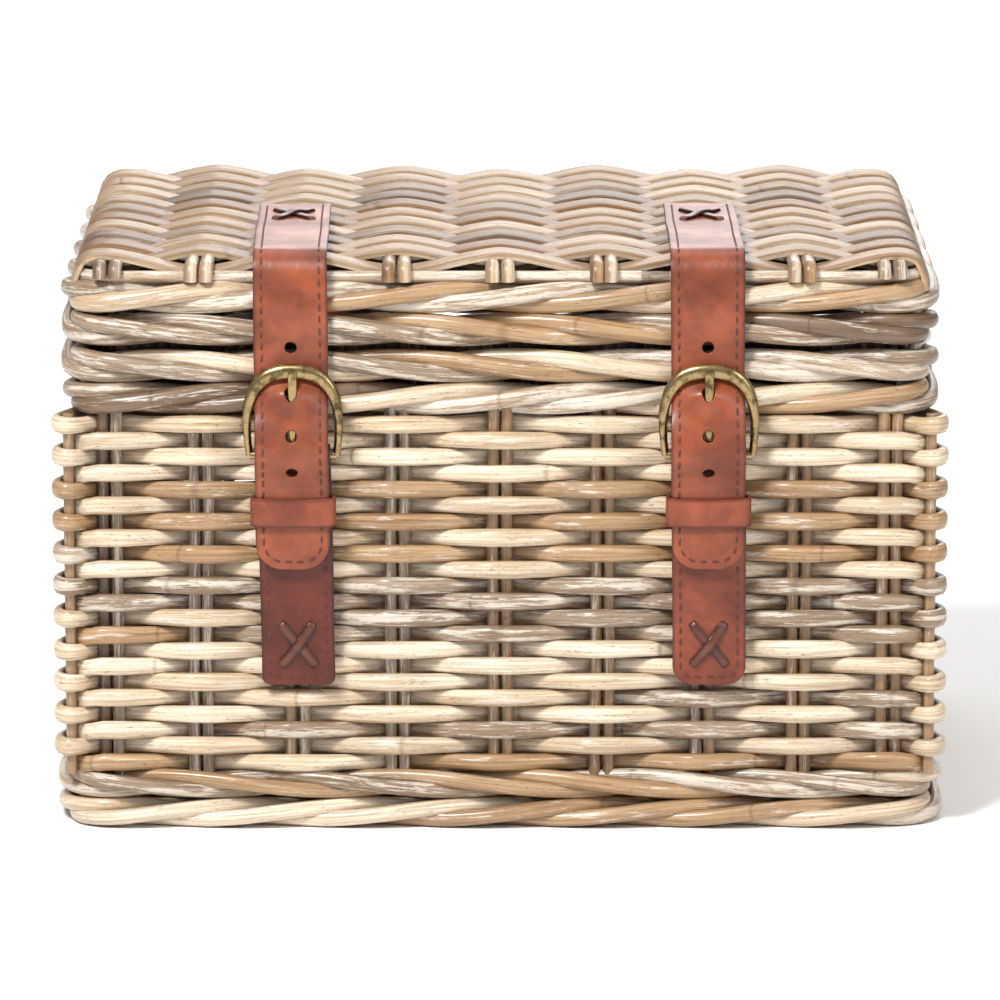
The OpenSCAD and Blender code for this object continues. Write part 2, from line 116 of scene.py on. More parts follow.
class Piece:
    """Collects the points, faces and point values of one piece."""

    def __init__(self):
        self.points, self.faces, self.grain, self.tint, self.wash = [], [], [], [], []
        self.count = 0

    def add(self, points, faces, grain, tint, wash):
        points = np.asarray(points, float).reshape(-1, 3)
        n = len(points)
        self.points.append(points)
        self.grain.append(np.asarray(grain, float).reshape(-1, 3))
        self.tint.append(np.tile(np.asarray(tint, float), (n, 1)))
        self.wash.append(np.full(n, wash, float))
        self.faces += [tuple(int(i) + self.count for i in f) for f in faces]
        self.count += n

    def strand(self, path, up, across, through, tone="p", sides=12, power=2.0, closed=False, start=0.0,
               shade=1.0, flat=False):
        """Sweeps a superellipse along a path: through is its half size along up, across sideways.

        tone is a letter of TONES or a colour with its wash, and flat stores the outline's own places as grain.
        """
        path = np.asarray(path, float)
        n = len(path)
        up = np.broadcast_to(np.asarray(up, float), path.shape)
        if closed:
            tangent = np.roll(path, -1, 0) - np.roll(path, 1, 0)
        else:
            tangent = np.gradient(path, axis=0)
        tangent /= np.linalg.norm(tangent, axis=1)[:, None]
        first = up - (up * tangent).sum(1)[:, None] * tangent
        first /= np.linalg.norm(first, axis=1)[:, None]
        second = np.cross(tangent, first)
        angle = np.arange(sides) * TAU / sides
        c, s = np.cos(angle), np.sin(angle)
        cx = np.sign(c) * np.abs(c) ** (2 / power)
        sx = np.sign(s) * np.abs(s) ** (2 / power)
        across = np.broadcast_to(np.asarray(across, float), (n,))
        through = np.broadcast_to(np.asarray(through, float), (n,))
        rings = (path[:, None, :] + second[:, None, :] * (cx[None, :] * across[:, None])[..., None]
                 + first[:, None, :] * (sx[None, :] * through[:, None])[..., None])
        step = np.linalg.norm(np.diff(path, axis=0), axis=1)
        along = start + np.concatenate([[0], np.cumsum(step)])
        if flat:
            c, s = cx, sx
        grain = np.stack([np.repeat(along, sides), np.tile(c, n), np.tile(s, n)], 1)
        faces = []
        last = n if closed else n - 1
        for r in range(last):
            a, b = r * sides, ((r + 1) % n) * sides
            for k in range(sides):
                m = (k + 1) % sides
                faces.append((a + k, a + m, b + m, b + k))
        if not closed:
            faces.append(tuple(range(sides))[::-1])
            faces.append(tuple(range((n - 1) * sides, n * sides)))
        colour, wash = TONES[tone] if isinstance(tone, str) else tone
        self.add(rings, faces, grain, np.array(colour) * shade, wash)

    def make(self, name, body, material, *nodes, slot, blend=None, sharp=40):
        """Mesh object that replaces nodes, which it hides. It rides on body; given blend, an (other body, start,
        end), it rides on no body and only has its transform baked in.
        """
        mesh = bpy.data.meshes.new(name)
        points = np.concatenate(self.points)
        mesh.from_pydata(points.tolist(), [], self.faces)
        for label, kind, data in (("grain", "FLOAT_VECTOR", self.grain), ("tint", "FLOAT_VECTOR", self.tint)):
            mesh.attributes.new(label, kind, "POINT").data.foreach_set("vector", np.concatenate(data).ravel())
        mesh.attributes.new("wash", "FLOAT", "POINT").data.foreach_set("value", np.concatenate(self.wash))
        mesh.materials.append(material)
        bm = bmesh.new()
        bm.from_mesh(mesh)
        bmesh.ops.recalc_face_normals(bm, faces=bm.faces)
        bm.to_mesh(mesh)
        bm.free()
        mesh.shade_smooth()
        mesh.set_sharp_from_angle(angle=math.radians(sharp))
        obj = bpy.data.objects.new(name, mesh)
        bpy.context.scene.collection.objects.link(obj)
        if nodes:
            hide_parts(*nodes)
        if blend:
            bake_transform(obj)
        else:
            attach(obj, body)


# ---------------------------------------------------------------- curves


def hermite(a, b, way_a, way_b, t):
    """Points at t, from 0 to 1, of the cubic from a to b with tangents way_a and way_b."""
    t = t[:, None]
    start = (2 * t**3 - 3 * t**2 + 1) * a + (t**3 - 2 * t**2 + t) * way_a
    return start + (-2 * t**3 + 3 * t**2) * b + (t**3 - t**2) * way_b


def smooth_path(points, step):
    """Catmull-Rom curve through the given points, about one sample to each step."""
    points = np.asarray(points, float)
    ends = np.concatenate([[2 * points[0] - points[1]], points, [2 * points[-1] - points[-2]]])
    out = []
    for k in range(1, len(ends) - 2):
        a, b, c, d = ends[k - 1], ends[k], ends[k + 1], ends[k + 2]
        t = np.linspace(0, 1, max(2, int(np.linalg.norm(c - b) / step)), endpoint=False)
        out.append(hermite(b, c, (c - a) / 2, (d - b) / 2, t))
    out.append(points[-1:])
    return np.concatenate(out)


def wobble(rng, n, size, waves=4):
    """Smooth random sequence of n values."""
    t = np.linspace(0, 1, n)
    total = np.zeros(n)
    for w in range(1, waves + 1):
        total += rng.normal() * np.sin(TAU * w * t * (1 + n / 400) + rng.uniform(0, TAU)) / w
    return total * size / 1.5


class Loop:
    """Rounded rectangle round the basket, walked by length from the middle of the front."""

    def __init__(self, half_w, half_d, r):
        self.w, self.d, self.r = half_w, half_d, r
        self.length = 4 * (half_w + half_d) - 8 * r + TAU * r

    def at(self, s):
        """Point and outward direction at each length s, going toward +X first."""
        s = np.mod(np.asarray(s, float), self.length)
        cw, cd = self.w - self.r, self.d - self.r
        sides = [cw, 2 * cd, 2 * cw, 2 * cd, cw]
        arc = TAU * self.r / 4
        point, out = np.zeros(s.shape + (2,)), np.zeros(s.shape + (2,))
        here = 0.0
        starts = [(0, -self.d), (self.w, -cd), (cw, self.d), (-self.w, cd), (-cw, -self.d)]
        ways = [(1, 0), (0, 1), (-1, 0), (0, -1), (1, 0)]
        centres = [(cw, -cd), (cw, cd), (-cw, cd), (-cw, -cd)]
        for k, length in enumerate(sides):
            on = (s >= here - 1e-12) & (s < here + length)
            way = np.array(ways[k], float)
            point[on] = np.array(starts[k]) + way * (s[on] - here)[:, None]
            out[on] = (way[1], -way[0])
            here += length
            if k < 4:
                on = (s >= here) & (s < here + arc)
                turn = (s[on] - here) / self.r + (k - 1) * math.pi / 2
                out[on] = np.stack([np.cos(turn), np.sin(turn)], 1)
                point[on] = np.array(centres[k]) + self.r * out[on]
                here += arc
        return point, out


def lift(flat, z):
    """Plan points round the body's centre, at heights z, as points of the scene."""
    z = np.broadcast_to(np.asarray(z, float), flat.shape[:-1])
    return np.stack([flat[..., 0], flat[..., 1] + BODY_Y, z], -1)


# ---------------------------------------------------------------- materials


class Nodes:
    """Short way to write a node tree."""

    def __init__(self, name):
        self.mat = bpy.data.materials.new(name)
        self.mat.use_nodes = True
        self.tree = self.mat.node_tree
        self.bsdf = self.tree.nodes["Principled BSDF"]

    def new(self, kind, **values):
        node = self.tree.nodes.new(kind)
        for key, value in values.items():
            setattr(node, key, value)
        return node

    def link(self, source, target):
        if hasattr(source, "is_output"):
            self.tree.links.new(source, target)
        else:
            target.default_value = source

    def attribute(self, name, output="Vector"):
        return self.new("ShaderNodeAttribute", attribute_name=name).outputs[output]

    def math(self, operation, a, b=0.0):
        node = self.new("ShaderNodeMath", operation=operation)
        self.link(a, node.inputs[0])
        self.link(b, node.inputs[1])
        return node.outputs[0]

    def add(self, a, b):
        return self.math("ADD", a, b)

    def minus(self, a, b):
        return self.math("SUBTRACT", a, b)

    def times(self, a, b):
        return self.math("MULTIPLY", a, b)

    def scaled(self, vector, scale, shift=(0, 0, 0)):
        node = self.new("ShaderNodeVectorMath", operation="MULTIPLY_ADD")
        self.link(vector, node.inputs[0])
        node.inputs[1].default_value = scale
        node.inputs[2].default_value = shift
        return node.outputs[0]

    def noise(self, vector, scale=1.0, detail=3.0, roughness=0.5, distortion=0.0):
        node = self.new("ShaderNodeTexNoise")
        self.link(vector, node.inputs["Vector"])
        node.inputs["Scale"].default_value = scale
        node.inputs["Detail"].default_value = detail
        node.inputs["Roughness"].default_value = roughness
        node.inputs["Distortion"].default_value = distortion
        return node.outputs["Fac"]

    def cells(self, vector):
        node = self.new("ShaderNodeTexVoronoi")
        self.link(vector, node.inputs["Vector"])
        node.inputs["Scale"].default_value = 1.0
        return node.outputs["Distance"]

    def ramp(self, value, low, high, a=0.0, b=1.0):
        """Smooth step from a to b as value goes from low to high."""
        node = self.new("ShaderNodeMapRange", interpolation_type="SMOOTHSTEP")
        self.link(value, node.inputs["Value"])
        for key, v in zip(("From Min", "From Max", "To Min", "To Max"), (low, high, a, b)):
            self.link(v, node.inputs[key])
        return node.outputs["Result"]

    def mix(self, factor, a, b, blend="MIX"):
        node = self.new("ShaderNodeMix", data_type="RGBA", blend_type=blend)
        self.link(factor, node.inputs["Factor"])
        self.link(a + (1,) if isinstance(a, tuple) else a, node.inputs[6])
        self.link(b + (1,) if isinstance(b, tuple) else b, node.inputs[7])
        return node.outputs[2]

    def shaded(self, factor, colour, by):
        """Colour, multiplied by another one as far as factor says."""
        return self.mix(factor, colour, self.mix(1.0, colour, by, "MULTIPLY"))

    def bump(self, height, strength, distance):
        node = self.new("ShaderNodeBump")
        node.inputs["Strength"].default_value = strength
        node.inputs["Distance"].default_value = distance
        self.link(height, node.inputs["Height"])
        return node.outputs["Normal"]

    def done(self, colour, roughness, normal, metallic=0.0, specular=0.5, coat=(0.0, 0.0)):
        """The material. coat is the clear coat's weight and roughness."""
        self.link(colour, self.bsdf.inputs["Base Color"])
        self.link(roughness, self.bsdf.inputs["Roughness"])
        self.link(normal, self.bsdf.inputs["Normal"])
        self.bsdf.inputs["Metallic"].default_value = metallic
        self.bsdf.inputs["Specular IOR Level"].default_value = specular
        if coat[0]:
            self.bsdf.inputs["Coat Weight"].default_value = coat[0]
            self.bsdf.inputs["Coat Roughness"].default_value = coat[1]
        return self.mat


def rattan(name, gloss=0.0, coat=0.42, specular=0.5):
    """Rattan with lengthwise grain, peeling whitewash, flecks and dark node rings."""
    n = Nodes(name)
    grain = n.attribute("grain")
    tint = n.attribute("tint")
    wash = n.attribute("wash", "Fac")
    parts = n.new("ShaderNodeSeparateXYZ")
    n.link(grain, parts.inputs[0])
    along, top = parts.outputs[0], parts.outputs[2]
    streak = n.noise(n.scaled(grain, (26, 3.2, 3.2)), detail=5, roughness=0.62)
    fine = n.noise(n.scaled(grain, (90, 11, 11), (7, 3, 1)), detail=4, roughness=0.7)
    broad = n.noise(n.scaled(grain, (11, 0.5, 0.5), (3, 9, 4)), detail=2)
    stain = n.noise(n.scaled(grain, (23, 2.2, 2.2), (9, 2, 7)), detail=5, roughness=0.7)
    patch = n.noise(n.scaled(grain, (38, 1.5, 1.5), (5, 1, 8)), detail=8, roughness=0.72)

    # bare rod, darker between its fibres and along some stretches
    colour = n.shaded(n.ramp(streak, 0.32, 0.70, 1.0, 0.0), tint, (0.62, 0.54, 0.46))
    colour = n.shaded(n.ramp(broad, 0.38, 0.68, 0.0, 0.75), colour, (0.80, 0.70, 0.58))
    colour = n.shaded(n.ramp(stain, 0.56, 0.70, 0.0, 0.6), colour, (0.62, 0.47, 0.33))

    # whitewash, worn off in patches; the extra whitewash toward the upper side is a painted highlight
    edge = n.minus(n.minus(0.72, n.times(wash, 0.34)), n.times(top, 0.035))
    worn = n.add(patch, n.times(n.minus(fine, 0.5), 0.16))
    cover = n.ramp(n.minus(worn, edge), -0.02, 0.05)
    colour = n.mix(n.times(cover, 0.74), colour, n.mix(n.ramp(fine, 0.3, 0.7, 0.0, 0.5), WASH, OLD_WASH))

    # flecks, hairline cracks and node rings
    speck = n.noise(n.scaled(grain, (420, 7.5, 7.5), (2, 2, 6)), detail=4, roughness=0.6)
    group = n.noise(n.scaled(grain, (60, 1.4, 1.4), (4, 4, 4)), detail=2)
    flecks = n.times(n.ramp(speck, 0.58, 0.66), n.ramp(group, 0.42, 0.56))
    colour = n.mix(n.times(flecks, 0.75), colour, FLECK)
    crack = n.noise(n.scaled(grain, (14, 9, 9), (1, 6, 2)), detail=6, roughness=0.75)
    hairline = n.ramp(crack, 0.36, 0.405, 1.0, 0.0)
    colour = n.shaded(n.times(hairline, 0.7), colour, (0.42, 0.33, 0.25))
    bent = n.add(along, n.times(n.math("ABSOLUTE", top), 0.0018))
    uneven = n.add(bent, n.times(n.noise(n.scaled(grain, (3, 0, 0)), detail=0), 0.35))
    place = n.math("ABSOLUTE", n.minus(n.math("FRACT", n.times(uneven, 4.1)), 0.5))
    ring = n.ramp(place, 0.0, 0.0075, 1.0, 0.0)
    colour = n.shaded(n.times(ring, 0.42), colour, (0.34, 0.25, 0.18))

    # painted shade: darker toward each strand's lower and inner side
    painted_shade = n.times(n.ramp(n.add(top, n.times(streak, 0.6)), -0.30, 0.80, 1.0, 0.0), 0.78)
    colour = n.shaded(painted_shade, colour, (0.34, 0.245, 0.17))
    rough = n.add(n.ramp(cover, 0, 1, 0.34 - gloss, 0.50 - gloss), n.times(fine, 0.12))
    height = n.add(n.add(n.times(streak, 0.7), n.times(fine, 0.45)), n.times(cover, 0.25))
    height = n.minus(height, n.add(n.times(ring, 0.8), n.times(hairline, 0.5)))
    return n.done(colour, rough, n.bump(height, 0.6, 0.0005), specular=specular, coat=(coat, 0.19))


def leather(name, base, deep, gloss):
    """Oiled strap leather with pores, patina and darker cut edges. wash holds the strap's half width."""
    n = Nodes(name)
    tint = n.attribute("tint")
    half = n.attribute("wash", "Fac")
    parts = n.new("ShaderNodeSeparateXYZ")
    n.link(n.attribute("grain"), parts.inputs[0])
    across = n.times(parts.outputs[1], half)
    flat = n.new("ShaderNodeCombineXYZ")
    for socket, value in zip(flat.inputs, (parts.outputs[0], across, n.times(parts.outputs[2], half))):
        n.link(value, socket)
    grain = flat.outputs[0]
    patina = n.noise(n.scaled(grain, (38, 30, 30)), detail=5, roughness=0.6)
    cloud = n.noise(n.scaled(grain, (240, 190, 190), (3, 3, 3)), detail=4, roughness=0.6)
    pores = n.cells(n.scaled(grain, (1500, 1300, 1300)))
    mottle = n.noise(n.scaled(grain, (1400, 1400, 1400)), detail=2)
    cracks = n.noise(n.scaled(grain, (260, 900, 400), (8, 1, 1)), detail=5, roughness=0.7, distortion=0.6)
    colour = n.mix(n.ramp(patina, 0.30, 0.72), deep, base)
    colour = n.shaded(n.ramp(cloud, 0.40, 0.66, 0.0, 0.30), colour, (1.35, 1.25, 1.15))
    colour = n.mix(n.ramp(pores, 0.05, 0.45, 0.30, 0.0), colour, deep)
    from_edge = n.minus(half, n.math("ABSOLUTE", across))
    cut_edge = n.mix(1.0, deep, (0.55, 0.5, 0.5), "MULTIPLY")
    colour = n.mix(n.ramp(from_edge, 0.0002, 0.0016, 0.75, 0.0), colour, cut_edge)
    colour = n.mix(1.0, colour, tint, "MULTIPLY")
    rough = n.add(n.ramp(patina, 0.3, 0.7, gloss + 0.10, gloss), n.times(mottle, 0.12))
    height = n.add(n.times(pores, 0.5), n.times(mottle, 0.35))
    height = n.add(height, n.times(n.ramp(cracks, 0.30, 0.50), 0.5))
    return n.done(colour, rough, n.bump(height, 0.35, 0.00022), specular=0.34, coat=(0.16, 0.25))


def aged_brass(name):
    """Antique brass: worn bright on its crowns, dark olive in its hollows."""
    n = Nodes(name)
    place = n.new("ShaderNodeTexCoord").outputs["Object"]
    patina = n.noise(place, scale=230, detail=6, roughness=0.65)
    fine = n.noise(place, scale=1500, detail=3)
    crown = n.new("ShaderNodeNewGeometry").outputs["Pointiness"]
    worn = n.add(n.times(n.minus(crown, 0.5), 3.0), patina)
    colour = n.mix(n.ramp(worn, 0.38, 0.62), linear(84, 72, 46), linear(160, 138, 98))
    rough = n.ramp(worn, 0.35, 0.65, 0.42, 0.26)
    return n.done(colour, rough, n.bump(n.add(patina, n.times(fine, 0.4)), 0.12, 0.0003), metallic=1.0)


def thread(name, colour):
    """Waxed linen thread with a fine twist."""
    n = Nodes(name)
    grain = n.attribute("grain")
    twist = n.noise(n.scaled(grain, (2600, 1, 1)), detail=2)
    fine = n.noise(n.scaled(grain, (900, 3, 3)), detail=4)
    shade = n.mix(n.ramp(twist, 0.35, 0.65), n.mix(1.0, colour, (0.55, 0.55, 0.55), "MULTIPLY"), colour)
    return n.done(shade, n.ramp(fine, 0.3, 0.7, 0.45, 0.65), n.bump(twist, 0.5, 0.0002))


RATTAN = rattan("rattan")
SMOOTH_RATTAN = rattan("rattan_peeled_smooth", gloss=0.10)
SPLIT_RATTAN = rattan("rattan_split_slats", gloss=-0.08, coat=0.16, specular=0.36)
COGNAC = leather("leather_cognac", linear(158, 82, 52), linear(104, 48, 30), gloss=0.28)
LACE = leather("leather_lace", linear(112, 62, 46), linear(60, 28, 20), gloss=0.20)
BRASS = aged_brass("brass_aged")
THREAD = thread("waxed_thread", linear(92, 40, 26))

# ---------------------------------------------------------------- woven wall

# Tones of the rows, from the lowest up
ROW_TONES = "tcppppcpggwgptctctppcc"
CORNER_IN = 4.3 * MM
CORNER_D = 4.6 * MM
# How far a row stands out of the stakes' middle where it passes in front, and in where it passes behind
PAIR_FRONT, PAIR_BEHIND = 5.25 * MM, -4.9 * MM
POST_FRONT, POST_BEHIND = 3.7 * MM, -4.4 * MM
# Thickness of a strand's first and last rings, as parts of the whole
FADE = (0.55, 0.8, 0.95)


def stakes_round():
    """Plan place, outward direction and half width of every stake pair and corner stake, in order."""
    found = []
    for i in FRONT_PAIRS:
        found.append((pair_x(i), -HALF_D, 0, -1, PAIR_GAP / 2))
    cx, cy = OUTER_X - CORNER_IN, (BACK_Y - FRONT_Y) / 2 - CORNER_IN
    found.append((cx, -cy, 1, -1, 0))
    for i in END_PAIRS:
        found.append((HALF_W, END_PITCH * i, 1, 0, PAIR_GAP / 2))
    found.append((cx, cy, 1, 1, 0))
    return found + [(-x, -y, -a, -b, w) for x, y, a, b, w in found]


STAKES = stakes_round()


def path_in(u, half):
    """How far in from a straight side the stakes' path lies, near its rounded corners."""
    past = abs(u) - (half - CORNER_R)
    return CORNER_R - math.sqrt(CORNER_R**2 - past**2) if past > 0 else 0.0


def wall_row(piece, row, rng):
    """One row of strands, woven in front of every other stake pair."""
    z = FOOT_H + (row + 0.5) * ROW_H
    points, tangents, over = [], [], []
    for k, (x, y, ox, oy, w) in enumerate(STAKES):
        out = np.array([ox, oy]) / math.hypot(ox, oy)
        along = np.array([-out[1], out[0]])
        front = (k + row) % 2 == 0
        if w:
            reach = (PAIR_FRONT if front else PAIR_BEHIND) + rng.normal() * 0.15 * MM
        else:
            reach = POST_FRONT if front else POST_BEHIND
        for side in (-1, 1) if w else (0,):
            points.append(np.array([x, y]) + along * side * w * 1.15 + out * reach)
            tangents.append(along)
            over.append(front)
    count = len(points)
    gaps = [np.linalg.norm(points[(k + 1) % count] - points[k]) for k in range(count)]
    curve, high = [], []
    for k, gap in enumerate(gaps):
        m = (k + 1) % count
        steps = 3 if gap < 8 * MM else (7 if gap < 18 * MM else 11)
        pull = [gap, gap] if gap < 8 * MM else [min(gap, 1.9 * near + 4 * MM) for near in (gaps[k - 1], gaps[m])]
        t = np.linspace(0, 1, steps, endpoint=False)
        curve.append(hermite(points[k], points[m], tangents[k] * pull[0], tangents[m] * pull[1], t))
        ease = t * t * (3 - 2 * t)
        high.append(over[k] * (1 - ease) + over[m] * ease)
    curve, high = np.concatenate(curve), np.concatenate(high)
    count = len(curve)
    corner = (np.abs(curve[:, 0]) > HALF_W - 3 * MM) & (np.abs(curve[:, 1]) > HALF_D - 12 * MM)
    # strands droop where they pass behind, so that no light shows between the rows
    rise = wobble(rng, count, 0.28 * MM, 9) - 1.35 * MM * (1 - high)
    crest, hollow = (np.clip(part, 0, 1) ** 1.5 for part in (2 * high - 1, 1 - 2 * high))
    tall = (3.36 + 0.42 * crest + 0.78 * hollow) * MM * (1 + wobble(rng, count, 0.035, 12))
    thick = (2.55 + 0.30 * high) * MM * (1 + wobble(rng, count, 0.03, 8))
    thick = np.where(corner, thick * 0.82, thick)
    hidden = [i for i in range(count) if high[i] < 0.02]
    starts = sorted(set(int(rng.choice(hidden)) for _ in range(3)))
    for j, first in enumerate(starts):
        length = (starts[(j + 1) % len(starts)] - first) % count or count
        index = (first + np.arange(-2, length + 3)) % count
        line = lift(curve[index], z + rise[index])
        tone = rng.choice(list("pctgw")) if rng.random() < 0.42 else ROW_TONES[row]
        taper = np.ones(len(index))
        taper[:3], taper[-3:] = FADE, FADE[::-1]
        piece.strand(line, np.cross(np.gradient(line, axis=0), UP), tall[index] * (0.6 + 0.4 * taper),
                     thick[index] * taper, tone, sides=12, power=2.3, start=rng.uniform(0, 30),
                     shade=rng.uniform(0.93, 1.06))


def build_wall():
    rng = np.random.default_rng(11)
    rows = [Piece(), Piece()]
    for row in range(ROWS):
        wall_row(rows[row % 2], row, rng)
    rows[0].make("wall_rows_even", "basket", RATTAN, "outer_weave", slot="wicker_pale")
    rows[1].make("wall_rows_odd", "basket", RATTAN, "inner_weave", slot="wicker_pale")
    stakes, posts = Piece(), Piece()
    n = 24
    for k, (x, y, ox, oy, w) in enumerate(STAKES):
        out = np.array([ox, oy]) / math.hypot(ox, oy)
        along = np.array([-out[1], out[0]])
        low, high = (FOOT_H - 6 * MM, WALL_TOP + 6 * MM) if w else (FOOT_H - 1.5 * MM, WALL_TOP + 1 * MM)
        for side in ((-1, 1) if w else (0,)):
            px, py = np.array([x, y]) + along * side * w
            if w and abs(oy) == 1:
                py -= math.copysign(path_in(px, HALF_W), py)
            flat = np.stack([px + wobble(rng, n, 0.25 * MM, 3), py + wobble(rng, n, 0.12 * MM, 3)], 1)
            tone = rng.choice(list("tttgb"))
            if k == 0:
                tone = "b" if side < 0 else "g"
            r = (STAKE_D if w else CORNER_D) / 2 * (1 + wobble(rng, n, 0.03, 4))
            (stakes if w else posts).strand(lift(flat, np.linspace(low, high, n)), (out[0], out[1], 0), r, r,
                                            tone if w else "t", sides=12, start=rng.uniform(0, 30),
                                            shade=rng.uniform(0.74, 0.95))
    stakes.make("wall_stakes", "basket", RATTAN, "side_stakes", slot="wicker_tan")
    posts.make("corner_posts", "basket", RATTAN, "corner_stakes", slot="wicker_brown")


# ---------------------------------------------------------------- borders

ROPE_HALF = 8.3 * MM  # half of a border's thickness, seen from above


def rope(name, node, body, lay, tones, seed, slot):
    """Three rods twisted into a border. Each rod runs one turn, from the inside out and back in."""
    rng = np.random.default_rng(seed)
    lo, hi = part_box(node)
    tall, half_w, half_d = hi.z - lo.z, (hi.x - lo.x) / 2 - ROPE_HALF, (hi.y - lo.y) / 2 - ROPE_HALF
    loop = Loop(half_w, half_d, CORNER_R + half_w - HALF_W)
    turns, count = 8, 60
    pitch = loop.length / turns
    radius = 0.262 * tall
    side_in, rise = ROPE_HALF - radius, tall / 2 - radius
    piece = Piece()
    for strand in range(3):
        for turn in range(turns):
            phase = np.linspace(-math.pi - 0.35, math.pi + 0.35, count)
            flat, out = loop.at((turn + strand / 3 + phase / TAU) * pitch)
            swell = 1 + wobble(rng, count, 0.03, 5)
            reach = side_in * np.cos(phase) * (1 + wobble(rng, count, 0.03, 2))
            z = (lo.z + hi.z) / 2 + lay * rise * np.sin(phase)
            r = radius * swell * rng.uniform(0.95, 1.05)
            lowest = 1.12 * r if lo.z < 1 * MM else lo.z  # the foot stands on the floor
            taper = np.ones(count)
            taper[:2], taper[-2:] = (0.75, 0.92), (0.92, 0.75)
            piece.strand(lift(flat + out * reach[:, None], np.maximum(z, lowest)),
                         np.column_stack([out, np.zeros(count)]), r * taper * 1.04, r * taper * 0.98,
                         rng.choice(list(tones)), sides=14, power=2.1, start=rng.uniform(0, 30),
                         shade=rng.uniform(0.92, 1.06))
    piece.make(name, body, RATTAN, node, slot=slot)


def build_borders():
    for name, body, lay, tones, seed, slot in (
        ("foot_border_lower", "basket", 1, "cwtpcg", 21, "wicker_tan"),
        ("foot_border_upper", "basket", -1, "wctpgw", 22, "wicker_grey"),
        ("rim_border_lower", "basket", 1, "wgtgbc", 23, "wicker_tan"),
        ("rim_border_upper", "basket", -1, "wcgwtc", 24, "wicker_grey"),
        ("lid_border_lower", "lid", -1, "ggtbtw", 25, "wicker_tan"),
        ("lid_border_upper", "lid", 1, "gtgcwt", 26, "wicker_grey"),
    ):
        rope(name + "_rope", name, body, lay, tones, seed, slot)


def build_collar():
    """Hoop inside the rim, wrapped in flat dark cane."""
    rng = np.random.default_rng(31)
    lo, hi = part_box("inner_rim")
    thick, n = 3.6 * MM, 240
    loop = Loop((hi.x - lo.x - thick) / 2, (hi.y - lo.y - thick) / 2, CORNER_R - 11 * MM)
    top = LID_BOTTOM + 5 * MM
    mid, half = (lo.z + top) / 2, (top - lo.z) / 2
    piece = Piece()
    flat, out = loop.at(np.linspace(0, loop.length, n, endpoint=False))
    piece.strand(lift(flat, mid), np.column_stack([out, np.zeros(n)]), half - 0.9 * MM, thick / 2 - 0.9 * MM,
                 "d", sides=12, power=4, closed=True)
    wraps = int(loop.length / (5.5 * MM))
    for k in range(wraps):
        turn = np.linspace(0, TAU * 1.03, 17)
        flat, out = loop.at((k + turn / TAU) * loop.length / wraps)
        c, d = np.sign(np.cos(turn)) * np.abs(np.cos(turn)) ** 0.45, np.sin(turn)
        line = lift(flat + out * (c * (thick / 2 - 0.5 * MM))[:, None], mid + d * (half - 0.5 * MM))
        outward = np.column_stack([out * c[:, None], d])
        piece.strand(line, outward, 2.55 * MM, 0.55 * MM, rng.choice(list("ddb")), sides=6, power=3,
                     start=rng.uniform(0, 9), shade=rng.uniform(0.8, 1.3))
    piece.make("rim_collar", "basket", SMOOTH_RATTAN, "inner_rim", slot="wicker_brown")


# ---------------------------------------------------------------- lid

# Tones of the slats, from the front back
SLAT_TONES = "cctpgwpctcwtcgpwccpc"


def across_y(line):
    """Directions at right angles to a line that runs across the lid, on its upper side."""
    way = np.gradient(line, axis=0)
    up = np.cross(way, [0.0, 1.0, 0.0]) * -1 + np.array([0.0, 0.09, 0.0]) * np.linalg.norm(way, axis=1)[:, None]
    return up / np.linalg.norm(up, axis=1)[:, None]


